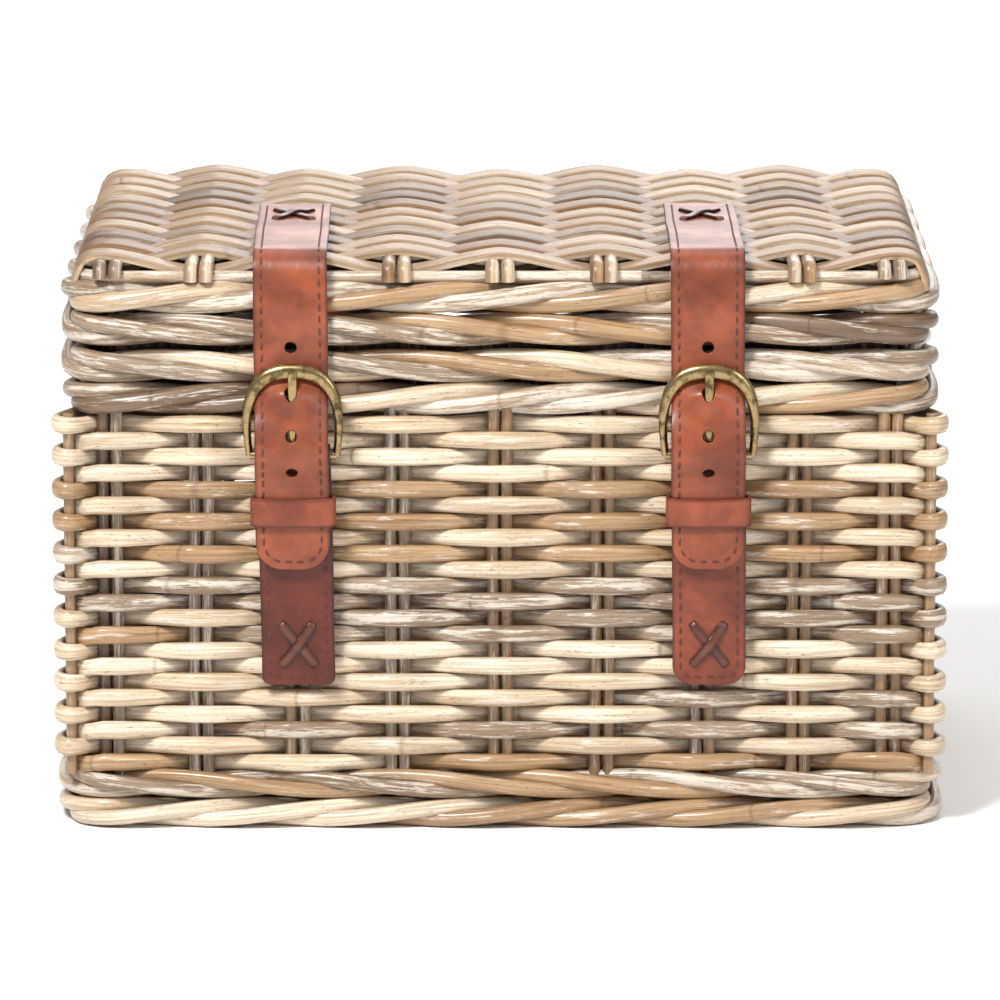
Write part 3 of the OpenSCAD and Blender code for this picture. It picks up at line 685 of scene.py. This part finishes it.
def build_lid():
    rng = np.random.default_rng(41)
    stake_lo, stake_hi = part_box("lid_stakes")
    stake_z = stake_hi.z - STAKE_D / 2
    rod_lo, rod_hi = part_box("lid_rim_rod")
    slat_lo, slat_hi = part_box("lid_weave")

    rod = Piece()
    loop = Loop(HALF_W, HALF_D, CORNER_R)
    r = (rod_hi.z - rod_lo.z) / 2 * 1.12
    for part in range(4):
        flat = loop.at((np.linspace(part / 4, (part + 1) / 4 + 0.01, 70) + 0.55) * loop.length)[0]
        rod.strand(lift(flat, (rod_lo.z + rod_hi.z) / 2 + 0.4 * MM), UP, r, r, "w", sides=14,
                   start=rng.uniform(0, 30), shade=1.12)
    rod.make("lid_edge_rod", "lid", SMOOTH_RATTAN, "lid_rim_rod", slot="wicker_pale")

    stakes = Piece()
    reach, bend = (stake_hi.y - stake_lo.y) / 2 - STAKE_D / 2, 2.6 * MM
    for i in FRONT_PAIRS:
        for side in (-1, 1):
            x = pair_x(i) + side * PAIR_GAP * 0.56
            foot = stake_lo.z if abs(i) < 4 else rod_hi.z - 1.5 * MM
            corner = [(reach, foot), (reach, stake_z - bend), (reach - 0.8 * MM, stake_z - 0.8 * MM),
                      (reach - bend, stake_z)]
            run = [(-reach * part, stake_z) for part in np.linspace(-0.93, 0.93, 9)]
            plan = corner + run + [(-a, b) for a, b in corner[::-1]]
            line = smooth_path([(x, BODY_Y - a, b) for a, b in plan], 4 * MM)
            line[:, 0] += wobble(rng, len(line), 0.3 * MM, 3)
            r = STAKE_D / 2 * 1.14 * (1 + wobble(rng, len(line), 0.03, 4))
            tone = {-4: "g", 4: "w"}.get(i, rng.choice(list("ttcc")))
            stakes.strand(line, (1, 0, 0), r, r, tone, sides=12, start=rng.uniform(0, 30),
                          shade=rng.uniform(0.92, 1.06))
    stakes.make("lid_stake_pairs", "lid", RATTAN, "lid_stakes", slot="wicker_tan")

    edge = (slat_hi.y - slat_lo.y) / 2 - 5 * MM
    half_thick = 1.5 * MM
    lift_z = STAKE_D / 2 + half_thick - 0.35 * MM
    end = HALF_W + 0.5 * MM
    pieces = [Piece(), Piece()]
    pairs = np.array([pair_x(i) for i in FRONT_PAIRS])
    for j, tone in enumerate(SLAT_TONES):
        y = BODY_Y - edge + 2 * edge * j / (len(SLAT_TONES) - 1)
        x = np.linspace(pairs[0], pairs[-1], 97)
        wave = np.cos(math.pi * (np.interp(x, pairs, np.arange(float(len(pairs)))) + j))
        z = stake_z + lift_z * (0.6 * wave + 0.4 * np.arcsin(wave) * 2 / math.pi)
        first = lift_z * (1 if j % 2 == 0 else -1)
        # ends turned down over the border
        shoulder = [(end - 7 * MM, stake_z + 0.95 * first), (end - 2.5 * MM, stake_z + 0.55 * first - 0.6 * MM),
                    (end, stake_z - 3.2 * MM), (end + 1.2 * MM, LID_BORDER_TOP - 1.5 * MM),
                    (end + 1.4 * MM, LID_BORDER_TOP - 5 * MM)]
        inner = np.abs(x) < end - 9 * MM
        rail = [(-a, b) for a, b in shoulder[::-1]] + list(zip(x[inner], z[inner])) + shoulder
        line = smooth_path([(px, y, pz) for px, pz in rail], 2.2 * MM)
        n = len(line)
        line[:, 1] += wobble(rng, n, 0.7 * MM, 5)
        line[:, 2] += wobble(rng, n, 0.25 * MM, 7)
        wide = 5.75 * MM * (1 + wobble(rng, n, 0.04, 8))
        pieces[j % 2].strand(line, across_y(line), wide, half_thick * (1 + wobble(rng, n, 0.06, 6)), tone,
                             sides=16, power=5.5, start=rng.uniform(0, 30), shade=rng.uniform(1.0, 1.14))
    for name, piece in zip(("lid_slats_even", "lid_slats_odd"), pieces):
        piece.make(name, "lid", SPLIT_RATTAN, "lid_weave", slot="wicker_pale")


# ---------------------------------------------------------------- base


def build_base():
    rng = np.random.default_rng(51)
    lo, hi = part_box("base_weave")
    stake_lo, stake_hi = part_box("base_stakes")
    z = (stake_lo.z + hi.z) / 2
    n = 22
    stakes = Piece()
    for i in FRONT_PAIRS:
        for side in (-1, 1):
            x = pair_x(i) + side * PAIR_GAP / 2 + wobble(rng, n, 0.3 * MM, 3)
            line = np.column_stack([x, np.linspace(stake_lo.y, stake_hi.y, n), np.full(n, z)])
            stakes.strand(line, UP, STAKE_D / 2, STAKE_D / 2, rng.choice(list("tcg")), sides=10,
                          start=rng.uniform(0, 30))
    stakes.make("base_stake_pairs", "basket", RATTAN, "base_stakes", slot="wicker_tan")
    r, half = 2.25 * MM, (hi.x - lo.x) / 2
    count = int((hi.y - lo.y) / (2.08 * r))
    step = STAKE_D / 2 + r * 0.86
    rods = Piece()
    for j in range(count):
        y = lo.y + r + (hi.y - lo.y - 2 * r) * j / (count - 1)
        points = [(-half, z)]
        for i in FRONT_PAIRS:
            level = z + step if (i + j) % 2 == 0 else z - step
            points += [(pair_x(i) + side * PAIR_GAP * 0.55, level) for side in (-1, 1)]
        points.append((half, z))
        line = smooth_path([(px, y, pz) for px, pz in points], 5 * MM)
        rods.strand(line, UP, r * (1 + wobble(rng, len(line), 0.04, 6)), r * 0.95, rng.choice(list("pcctwg")),
                    sides=8, start=rng.uniform(0, 30), shade=rng.uniform(0.9, 1.05))
    rods.make("base_rods", "basket", RATTAN, "base_weave", slot="wicker_pale")


build_wall()
build_borders()
build_collar()
build_lid()
build_base()

# ---------------------------------------------------------------- leather

STRAP_T = 2.4 * MM
WHITE = (1.0, 1.0, 1.0)
BARE = (WHITE, 0.001)  # tone of brass and thread, which don't use it

# Places out from the rim, in millimetres: leather against the wall, and the tail over the chape and on it
AGAINST_WALL, OVER_BUCKLE, ON_CHAPE = 1.9, 11.95, 6.4
# The heel bar and how far the chape's middle lies from it, and the notch in the chape for the prong
HEEL_OUT, BAR_R, FOLD_R = 5.2, 1.85, 3.55
NOTCH = (3.4 * MM, 19.5 * MM)
# The hinge rod's axis, and the rear straps' handlebar
HINGE_AXIS = (7.0, 199.15)
BAR_AXIS, BAR_LOOP_R = (16.0, 150.0), 14.0
# How far the straps lie from the middle of the basket
FRONT_X, REAR_X, TAB_X, TIE_X = 84.5 * MM, 74 * MM, 42 * MM, 98 * MM


def ways(line):
    """Unit tangents and outward normals of a path in the (outward, up) plane."""
    tangent = np.gradient(line, axis=0)
    tangent /= np.linalg.norm(tangent, axis=1)[:, None]
    return tangent, np.stack([-tangent[:, 1], tangent[:, 0]], 1)


class Run:
    """Side profile that a strap lies along, from its first end, with rounded corners."""

    def __init__(self, points, radius=6.0):
        points = np.asarray(points, float) * MM
        out = [points[:1]]
        for a, b, c in zip(points[:-2], points[1:-1], points[2:]):
            reach = min(radius * MM, 0.48 * np.linalg.norm(b - a), 0.48 * np.linalg.norm(c - b))
            p = b + (a - b) / np.linalg.norm(a - b) * reach
            q = b + (c - b) / np.linalg.norm(c - b) * reach
            t = np.linspace(0, 1, 9)[:, None]
            out.append((1 - t) ** 2 * p + 2 * t * (1 - t) * b + t**2 * q)
        out.append(points[-1:])
        line = np.concatenate(out)
        keep = np.concatenate([[True], np.linalg.norm(np.diff(line, axis=0), axis=1) > 1e-7])
        line = line[keep]
        s = np.concatenate([[0], np.cumsum(np.linalg.norm(np.diff(line, axis=0), axis=1))])
        self.length = s[-1]
        self.s = np.linspace(0, self.length, int(self.length / (0.7 * MM)))
        self.line = np.stack([np.interp(self.s, s, line[:, k]) for k in (0, 1)], 1)
        self.normal = ways(self.line)[1]

    def at(self, s):
        point = np.stack([np.interp(s, self.s, self.line[:, k]) for k in (0, 1)], -1)
        normal = np.stack([np.interp(s, self.s, self.normal[:, k]) for k in (0, 1)], -1)
        return point, normal / np.linalg.norm(normal, axis=-1, keepdims=True)

    def where(self, up, last=True):
        """Length at which the run passes the height up, in millimetres."""
        hits = np.nonzero(np.diff(np.sign(self.line[:, 1] - up * MM)))[0]
        return self.s[hits[-1 if last else 0]]


def arc_points(centre, r, start, end, n=14):
    angle = np.radians(np.linspace(start, end, n))
    return [(centre[0] + r * math.cos(a), centre[1] + r * math.sin(a)) for a in angle]


def out_y(out, rear):
    """Y of places so far out from the front or the back of the rim."""
    return BACK_Y + out if rear else FRONT_Y - out


class Strap:
    """Flat leather pattern bent along a run. lean shifts it sideways with height and swell lifts its middle."""

    def __init__(self, name, x, rear, run, width, thick=STRAP_T, lean=(0, 0), swell=(), seed=1, tint=WHITE,
                 ripple=1.0):
        self.name, self.x, self.rear, self.run, self.ripple = name, x, rear, run, ripple
        self.half, self.thick, self.lean, self.swell, self.tint = width / 2, thick, lean, swell, tint
        self.rng = np.random.default_rng(seed)
        self.phase = self.rng.uniform(0, TAU, 6)

    def place(self, across, s, h):
        """Scene points of places on the pattern: across its width, along the run, h outward of its middle."""
        across, s, h = (np.asarray(v, float) for v in np.broadcast_arrays(across, s, h))
        point, normal = self.run.at(s)
        part = across / self.half
        p = self.phase
        wave = 0.22 * np.sin(s / (17 * MM) + p[0]) + 0.14 * np.sin(s / (7.3 * MM) + p[1] + 1.3 * part)
        wave = wave + 0.10 * part * np.sin(s / (11 * MM) + p[2]) + 0.16 * part**2
        h = h + wave * self.ripple * MM
        for centre, reach, lift_by in self.swell:
            h = h + lift_by * np.exp(-(((s - centre) / reach) ** 2)) * np.maximum(1 - part**2, 0) ** 1.2
        out = point[..., 0] + normal[..., 0] * h
        up = point[..., 1] + normal[..., 1] * h
        edge = 1 + 0.008 * np.sin(s / (13 * MM) + p[3])
        lean = self.lean[0] + (self.lean[1] - self.lean[0]) * np.clip(s / self.run.length, 0, 1)
        return np.stack([self.x + across * edge + lean, out_y(out, self.rear), up], -1)

    def outline(self, radius, notch, start_radius=1.2 * MM):
        """Corners of the flat pattern: rounded far end, and perhaps a notch (half width, depth) in the near one."""
        w, length, out = self.half, self.run.length, []
        for cx, cy, r, first in ((w, length, radius, 0), (-w, length, radius, 90),
                                 (-w, 0, start_radius, 180), (w, 0, start_radius, 270)):
            for k in range(9):
                a = math.radians(first + 90 * k / 8)
                sx, sy = (1 if cx > 0 else -1), (1 if cy > 0 else -1)
                out.append((cx - sx * r + r * math.cos(a), cy - sy * r + r * math.sin(a)))
            if notch and first == 180:
                out += [(-notch[0], 0), (-notch[0], notch[1]), (notch[0], notch[1]), (notch[0], 0)]
        return out

    def leather(self, body, radius, holes=(), nodes=(), blend=None, notch=None):
        """holes are (across, along, half width, half length) on the pattern."""
        curve = bpy.data.curves.new(self.name + "_pattern", "CURVE")
        curve.dimensions, curve.fill_mode = "2D", "BOTH"
        bevel = 0.42 * MM
        curve.extrude, curve.bevel_depth, curve.bevel_resolution = self.thick / 2 - bevel, bevel, 2
        curve.offset = -bevel
        loops = [self.outline(radius, notch)]
        for hx, hs, hw, hl in holes:
            loops.append([(hx + (hw + bevel) * math.cos(a), hs + (hl + bevel) * math.sin(a))
                          for a in np.arange(20) * TAU / 20])
        for loop in loops:
            ring = curve.splines.new("POLY")
            ring.points.add(len(loop) - 1)
            for point, (px, py) in zip(ring.points, loop):
                point.co = (px, py, 0, 1)
            ring.use_cyclic_u = True
        flat = bpy.data.objects.new(self.name + "_flat", curve)
        mesh = bpy.data.meshes.new_from_object(flat)
        bpy.data.objects.remove(flat)
        bpy.data.curves.remove(curve)
        bm = bmesh.new()
        bm.from_mesh(mesh)
        bpy.data.meshes.remove(mesh)
        bmesh.ops.remove_doubles(bm, verts=bm.verts, dist=1e-7)
        # cuts across and along, so that the pattern can bend
        cuts = [((0, s, 0), (0, 1, 0)) for s in np.arange(1.7, self.run.length / MM, 1.7) * MM]
        cuts += [((part * self.half, 0, 0), (1, 0, 0)) for part in np.linspace(-0.9, 0.9, 10)]
        for place, normal in cuts:
            bmesh.ops.bisect_plane(bm, geom=bm.verts[:] + bm.edges[:] + bm.faces[:], dist=1e-7,
                                   plane_co=place, plane_no=normal)
        bm.verts.ensure_lookup_table()
        co = np.array([v.co for v in bm.verts])
        bm.verts.index_update()
        faces = [tuple(v.index for v in f.verts) for f in bm.faces]
        bm.free()
        piece = Piece()
        grain = np.stack([co[:, 1] + self.phase[4], co[:, 0] / self.half, co[:, 2] / self.half], 1)
        piece.add(self.place(co[:, 0], co[:, 1], co[:, 2]), faces, grain, self.tint, self.half)
        piece.make(self.name, body, COGNAC, *nodes, blend=blend, slot="leather_cognac", sharp=50)

    def stitches(self, body, radius, start, blend=None, inset=3.3 * MM, pitch=4.9 * MM):
        """Row of stitches inside both edges and round the far end, from start on."""
        w, r = self.half - inset, max(radius - inset, 1.5 * MM)
        low = self.run.length - inset
        corner = [(w - r + r * math.cos(a), low - r + r * math.sin(a)) for a in np.linspace(0, math.pi / 2, 8)]
        path = np.array([(w, start)] + corner + [(-a, b) for a, b in corner[::-1]] + [(-w, start)])
        run = np.concatenate([[0], np.cumsum(np.linalg.norm(np.diff(path, axis=0), axis=1))])
        piece = Piece()
        for k in range(int(run[-1] / pitch)):
            t = (k + 0.5) * pitch + self.rng.normal() * 0.1 * MM + np.linspace(-1.75, 1.75, 7) * MM
            a = np.interp(t, run, path[:, 0]) + np.linspace(-1, 1, 7) * 0.14 * MM
            s = np.interp(t, run, path[:, 1])
            h = self.thick / 2 + np.array([-0.45, 0.02, 0.17, 0.20, 0.17, 0.02, -0.45]) * MM
            line = self.place(a, s, h)
            piece.strand(line, self.place(a, s, h + 1 * MM) - line, 0.38 * MM, 0.30 * MM, BARE, sides=8,
                         start=self.rng.uniform(0, 1))
        piece.make(self.name + "_stitches", body, THREAD, blend=blend, slot="leather_dark")

    def lacing(self, name, body, along, size, node, wide=1.95 * MM):
        """Two crossed flat laces that come up through slots and go down again."""
        piece = Piece()
        t = np.linspace(-1, 1, 23)
        dive = np.clip((np.abs(t) - 0.80) / 0.20, 0, 1)
        s = along + t * size[1] / 2
        for k, sign in enumerate((1, -1)):
            top = self.thick / 2 + (0.75 + 1.25 * k * np.exp(-((t / 0.33) ** 2))) * MM
            h = top - 3.2 * MM * dive**2
            a = sign * t * size[0] / 2 + 0.35 * MM * np.sin(3 * t + k)
            line = self.place(a, s, h)
            widths = wide * (1 - 0.30 * dive) * (1 + 0.04 * np.sin(9 * t + k))
            piece.strand(line, self.place(a, s, h + 1 * MM) - line, widths, 0.75 * MM, (WHITE, wide), sides=16,
                         power=3.2, flat=True, start=self.rng.uniform(0, 3))
        piece.make(name, body, LACE, node, slot="leather_dark")


def buckle(prefix, x, rear, width, heel):
    """Cast horseshoe frame with a heel bar, and a prong curled round the bar. heel is (outward, up)."""
    wide = width / 2 + 3.5 * MM
    high = 2 * wide - 2.4 * MM
    tilt = math.radians(2.2)

    def put(across, out, up):
        o = heel[0] * MM + out * math.cos(tilt) + up * math.sin(tilt)
        z = heel[1] * MM + up * math.cos(tilt) - out * math.sin(tilt)
        return np.stack(np.broadcast_arrays(x + across, out_y(o, rear), z), -1)

    arm = [(0.95, 0.0), (0.975, 0.10), (0.997, 0.26), (1.0, 0.44), (0.955, 0.62), (0.83, 0.79), (0.60, 0.925),
           (0.31, 0.985)]
    shape = [(-a * wide, 0, b * high) for a, b in arm] + [(0, 0, high)]
    shape += [(a * wide, 0, b * high) for a, b in arm[::-1]]
    line = smooth_path(shape, 1.1 * MM)
    raised = np.clip(line[:, 2] / high, 0, 1)
    flat, deep = 1.5 * MM + 1.7 * MM * raised**1.8, 1.75 * MM + 0.35 * MM * raised
    path = put(line[:, 0], line[:, 1], line[:, 2])
    piece = Piece()
    piece.strand(path, put(line[:, 0], line[:, 1] + 1 * MM, line[:, 2]) - path, flat, deep, BARE, sides=22,
                 power=2.15)
    bar = np.linspace(-0.95 * wide, 0.95 * wide, 12)
    path = put(bar, 0, 0)
    piece.strand(path, put(bar, 1 * MM, 0) - path, BAR_R * MM, BAR_R * MM, BARE, sides=20)
    piece.make(f"{prefix}_buckle_frame_cast", f"{prefix}_frame", BRASS, f"{prefix}_buckle_frame", slot="brass_aged")

    rest = 3.25 * MM  # where the prong lies on the frame's top
    curl = [(a * MM, b * MM) for a, b in arc_points((0, 0), 3.25, 95, 345, 16)]
    shaft = [(3.30 * MM, 4 * MM), (3.25 * MM, 0.35 * high), (2.9 * MM, 0.7 * high), (rest, 0.95 * high),
             (rest + 0.1 * MM, high + 0.6 * MM)]
    line = smooth_path([(0, a, b) for a, b in curl + shaft], 1.2 * MM)
    path = put(line[:, 0], line[:, 1], line[:, 2])
    tangent = np.gradient(line, axis=0)
    outward = put(line[:, 0], line[:, 1] + tangent[:, 2], line[:, 2] - tangent[:, 1]) - path
    t = np.linspace(0, 1, len(line))
    across = np.interp(t, [0, 0.3, 0.55, 0.985, 1], [2.1, 2.1, 1.85, 1.85, 1.65]) * MM
    deep = np.interp(t, [0, 0.3, 0.5, 0.985, 1], [0.75, 0.85, 1.15, 1.15, 0.95]) * MM
    piece = Piece()
    piece.strand(path, outward, across, deep, BARE, sides=20, power=3.2)
    piece.make(f"{prefix}_buckle_prong_cast", f"{prefix}_prong", BRASS, f"{prefix}_buckle_prong", slot="brass_aged")


def keeper_band(prefix, x, rear, width, low, tint, seed):
    """Closed leather band round the chape and the tail."""
    thick, tall = 1.8 * MM, 12 * MM
    half, near, far, r = width / 2 + 1.5 * MM, 1.3 * MM, 9.2 * MM, 2.6 * MM
    mid = (near + far) / 2
    corner = [(half - r + r * math.cos(a), far - r + r * math.sin(a)) for a in np.linspace(0, math.pi / 2, 7)]
    path = [(-a, b) for a, b in corner] + corner[::-1]
    path += [(a, 2 * mid - b) for a, b in corner] + [(-a, 2 * mid - b) for a, b in corner[::-1]]
    ring = np.array(path + path[:1])
    s = np.concatenate([[0], np.cumsum(np.linalg.norm(np.diff(ring, axis=0), axis=1))])
    t = np.linspace(0, s[-1], 90, endpoint=False)
    line = np.stack([np.interp(t, s, ring[:, k]) for k in (0, 1)], 1)
    tangent = np.roll(line, -1, 0) - np.roll(line, 1, 0)
    tangent /= np.linalg.norm(tangent, axis=1)[:, None]
    away = np.stack([-tangent[:, 1], tangent[:, 0]], 1)
    away *= np.sign((away * (line - np.array([0, mid]))).sum(1))[:, None]
    # the outer face dips in its middle
    dip = 0.5 * MM * np.where(line[:, 1] > mid, np.cos(line[:, 0] / half * math.pi / 2), 0)
    path = np.stack([x + line[:, 0], out_y(line[:, 1], rear), low + tall / 2 - dip], 1)
    up = np.stack([away[:, 0], (1 if rear else -1) * away[:, 1], np.zeros(len(t))], 1)
    piece = Piece()
    piece.strand(path, up, (tall - dip) / 2, thick / 2, (tint, tall / 2), sides=24, power=7, closed=True, flat=True,
                 start=np.random.default_rng(seed).uniform(0, 3))
    piece.make(f"{prefix}_keeper_leather", f"{prefix}_loop", COGNAC, f"{prefix}_keeper", slot="leather_cognac",
               sharp=60)


def punch(run, round_holes, slot):
    """Holes in the middle of a tail, at heights in millimetres, and the slot where the tail bends."""
    r = 2.0 * MM
    return [(0, run.where(z), r, r) for z in round_holes] + [(0, run.where(slot), 2.2 * MM, 3.9 * MM)]


def build_chape(prefix, x, rear, width, heel, end, radius, sewn, lace, tint, seed, lean=(0, 0)):
    """Lower strap, folded round the heel bar and laced to the wall. sewn is the height where its stitches start."""
    z = heel[1]
    fold = [(8.1, z - 5.5), (8.75, z - 1)] + arc_points(heel, FOLD_R, 20, 165, 10) + [(1.75, z - 3.5)]
    run = Run(fold + [(3.7, z - 9.5), (3.7, z - 36), (1.6, z - 44), (1.6, end)], 5)
    chape = Strap(f"{prefix}_chape_leather", x, rear, run, width, seed=seed, tint=tint, ripple=0.12, lean=lean)
    chape.leather("basket", radius, (), (f"{prefix}_chape",), notch=NOTCH)
    chape.stitches("basket", radius, run.where(sewn))
    up, size, wide = lace
    chape.lacing(f"{prefix}_chape_lacing", "basket", run.length - up, size, f"{prefix}_chape_lace", wide)


def build_front(side, sx):
    """Closing strap from the lid's top through the buckle, with its chape and keeper."""
    left = side == "left"
    x, width, heel, seed = sx * FRONT_X, 30 * MM, (HEEL_OUT, 157), 60 + sx
    top = LID_TOP / MM + 0.85
    tail = [(AGAINST_WALL, 192), (AGAINST_WALL + 0.3, 183), (10.2, 169), (OVER_BUCKLE, 163), (OVER_BUCKLE, 155),
            (ON_CHAPE, 147), (ON_CHAPE, 110)]
    run = Run([(-124, top), (-9, top)] + arc_points((-8.4, top - 10), 10, 80, 10, 8)
              + [(1.75, 226), (1.7, 212), (1.7, 200)] + tail, 5)
    swell = ((run.where(179.8), 7.5 * MM, 6.0 * MM), (run.where(216), 9 * MM, 1.1 * MM))
    strap = Strap(f"{side}_lid_strap_leather", x, False, run, width, swell=swell, seed=seed,
                  lean=(-1.4 * MM, 0.4 * MM) if left else (-1.0 * MM, 0.2 * MM),
                  tint=(0.90, 0.90, 0.88) if left else (0.84, 0.80, 0.76))
    join = (f"{side}_tail", (x, FRONT_Y, LID_BOTTOM + 4 * MM), (x, FRONT_Y, LID_BOTTOM - 4 * MM))
    holes = punch(run, (200.5, 165.5, 150.5), 180.6)
    strap.leather("lid", 11 * MM, holes, (f"{side}_lid_strap", f"{side}_lid_strap_tail"), join)
    strap.stitches("lid", 11 * MM, 3.3 * MM, join)
    strap.lacing(f"{side}_lid_strap_lacing", "lid", 31 * MM, (17 * MM, 26 * MM), f"{side}_lid_strap_lace")

    build_chape(side, x, False, width, heel, 61, 3.5 * MM if left else 8 * MM, 140,
                (17 * MM, (15 * MM, 19 * MM), 1.95 * MM), (0.38, 0.24, 0.24) if left else (0.70, 0.60, 0.56),
                seed + 7, (0.6 * MM, 2.4 * MM) if left else (0.2 * MM, 0.9 * MM))
    x += 0.5 * MM if left else 0.2 * MM
    buckle(side, x, False, width, heel)
    keeper_band(side, x, False, width, 128 * MM, (0.92, 0.88, 0.88), seed)


def build_rear(side, sx):
    """Handlebar strap: from the wall over the bar, down through the buckle, with its chape and keeper."""
    prefix = f"{side}_bar"
    x, width, heel, seed = sx * REAR_X, 25 * MM, (HEEL_OUT, 90), 80 + sx
    tail = [(AGAINST_WALL, 127), (AGAINST_WALL, 121), (AGAINST_WALL + 0.3, 111), (10.2, 98.5), (OVER_BUCKLE, 93),
            (OVER_BUCKLE, 88), (ON_CHAPE, 80), (ON_CHAPE, 50)]
    run = Run([(1.6, 193), (1.6, 173)] + arc_points(BAR_AXIS, BAR_LOOP_R, 63.1, -61.8, 26) + tail, 3)
    strap = Strap(f"{prefix}_strap_leather", x, True, run, width, swell=((run.where(108), 7 * MM, 4.6 * MM),),
                  seed=seed, tint=(0.92, 0.9, 0.9), ripple=0.45)
    join = (f"{prefix}_tail", (x, BACK_Y, 141 * MM), (x, BACK_Y, 134 * MM))
    holes = punch(run, (93.5, 79.5, 66), 109)
    strap.leather("basket", 9 * MM, holes, (f"{prefix}_strap", f"{prefix}_strap_tail"), join)
    strap.stitches("basket", 9 * MM, 3.3 * MM, join)
    lace = (12 * MM, 11 * MM), 1.7 * MM
    strap.lacing(f"{prefix}_strap_lacing", "basket", 11 * MM, lace[0], f"{prefix}_strap_lace", lace[1])
    build_chape(prefix, x, True, width, heel, 28, 7 * MM, 58, (11 * MM, *lace), (0.8, 0.76, 0.76), seed + 7)
    buckle(prefix, x, True, width, heel)
    keeper_band(prefix, x, True, width, 61 * MM, (0.9, 0.86, 0.86), seed)


def build_hinge():
    """Rattan rod behind the rim, the lid's leather tabs that turn on it and the ties that hold it."""
    lo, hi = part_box("hinge_rod")
    n = 60
    r = (hi.z - lo.z) / 2
    size = np.full(n, r)
    size[[0, -1]] = 0.8 * r
    line = np.stack([np.linspace(lo.x, hi.x, n), np.full(n, (lo.y + hi.y) / 2), np.full(n, (lo.z + hi.z) / 2)], 1)
    rod = Piece()
    rod.strand(line, UP, size, size, "c", sides=20, start=2.0)
    rod.make("hinge_rod_rattan", "basket", RATTAN, "hinge_rod", slot="wicker_tan")
    for side, sx in (("left", -1), ("right", 1)):
        run = Run([(1.4, 224), (1.4, 206)] + arc_points(HINGE_AXIS, 5.15, 172, 470, 26), 3)
        tab = Strap(f"{side}_hinge_tab", sx * TAB_X, True, run, 26 * MM, 2 * MM, seed=95 + sx,
                    tint=(0.9, 0.87, 0.87))
        tab.leather("lid", 1.5 * MM, (), ("hinge_tabs",) if side == "left" else ())
        tab.lacing(f"{side}_hinge_tab_lacing", "lid", 9.5 * MM, (13 * MM, 9 * MM), "hinge_lacing", 1.6 * MM)
        run = Run([(1.4, 181), (1.4, 192)] + arc_points(HINGE_AXIS, 5.05, 188, -150, 28), 3)
        tie = Strap(f"{side}_rod_tie", sx * TIE_X, True, run, 12 * MM, 2 * MM, seed=99 + sx,
                    tint=(0.8, 0.76, 0.76))
        tie.leather("basket", 1.5 * MM, (), ("rod_ties",) if side == "left" else ())
        tie.lacing(f"{side}_rod_tie_lacing", "basket", 6.5 * MM, (5.5 * MM, 6 * MM), "rod_ties", 1.0 * MM)


for side, sx in (("left", -1), ("right", 1)):
    build_front(side, sx)
    build_rear(side, sx)
build_hinge()

# ---------------------------------------------------------------- camera, floor and light

EYE_AWAY, EYE_HIGH, EYE_PITCH, EYE_LENS = 3.0, 0.726, 11.1, 270.5
FLOOR_HALF = 6.0
# Place, size and power of each lamp, which all look at the basket
LAMPS = {
    "key": ((-0.7, -1.4, 1.8), 0.5, 60),
    "fill": ((1.3, -1.5, 1.1), 1.0, 14),
    "top": ((0.1, 0.5, 2.0), 1.2, 10),
    "rear": ((0.4, 2.2, 1.2), 1.4, 14),
}
# The backdrop lamp lights the floor behind the basket, straight down
BACKDROP = ((0.0, 2.9, 1.5), 2.0, 26)


def build_camera():
    cam = bpy.data.objects.new("camera", bpy.data.cameras.new("camera"))
    bpy.context.scene.collection.objects.link(cam)
    cam.location = (0, FRONT_Y - EYE_AWAY, EYE_HIGH)
    cam.rotation_euler = (math.radians(90 - EYE_PITCH), 0, 0)
    cam.data.sensor_width = 36
    cam.data.lens = EYE_LENS
    cam.data.clip_end = 50
    bpy.context.scene.camera = cam


def build_floor():
    mesh = bpy.data.meshes.new("floor")
    f = FLOOR_HALF
    mesh.from_pydata([(-f, -f, 0), (f, -f, 0), (f, f, 0), (-f, f, 0)], [], [(0, 1, 2, 3)])
    n = Nodes("floor_paper")
    tooth = n.noise(n.new("ShaderNodeTexCoord").outputs["Object"], scale=60, detail=3)
    paper = n.done((0.93, 0.93, 0.925, 1), n.ramp(tooth, 0.3, 0.7, 0.80, 0.9), n.bump(tooth, 0.02, 0.001))
    mesh.materials.append(paper)
    floor = bpy.data.objects.new("floor", mesh)
    bpy.context.scene.collection.objects.link(floor)


def add_lamp(name, place, size, power, way):
    """Square soft light at place, shining against way."""
    light = bpy.data.lights.new(name, "AREA")
    light.shape = "SQUARE"
    light.size = size
    light.energy = power
    lamp = bpy.data.objects.new(name, light)
    lamp.location = place
    lamp.rotation_mode = "QUATERNION"
    lamp.rotation_quaternion = Vector(way).to_track_quat("Z", "Y")
    bpy.context.scene.collection.objects.link(lamp)


def build_light():
    world = bpy.data.worlds.new("studio")
    bpy.context.scene.world = world
    world.use_nodes = True
    world.node_tree.nodes["Background"].inputs["Color"].default_value = (1, 1, 1, 1)
    world.node_tree.nodes["Background"].inputs["Strength"].default_value = 0.38
    for name, (place, size, power) in LAMPS.items():
        add_lamp(name, place, size, power, np.array(place) - np.array([0, BODY_Y, 0.12]))
    add_lamp("backdrop", *BACKDROP, (0, 0, 1))
    bpy.context.scene.view_settings.view_transform = "Standard"


build_camera()
build_floor()
build_light()
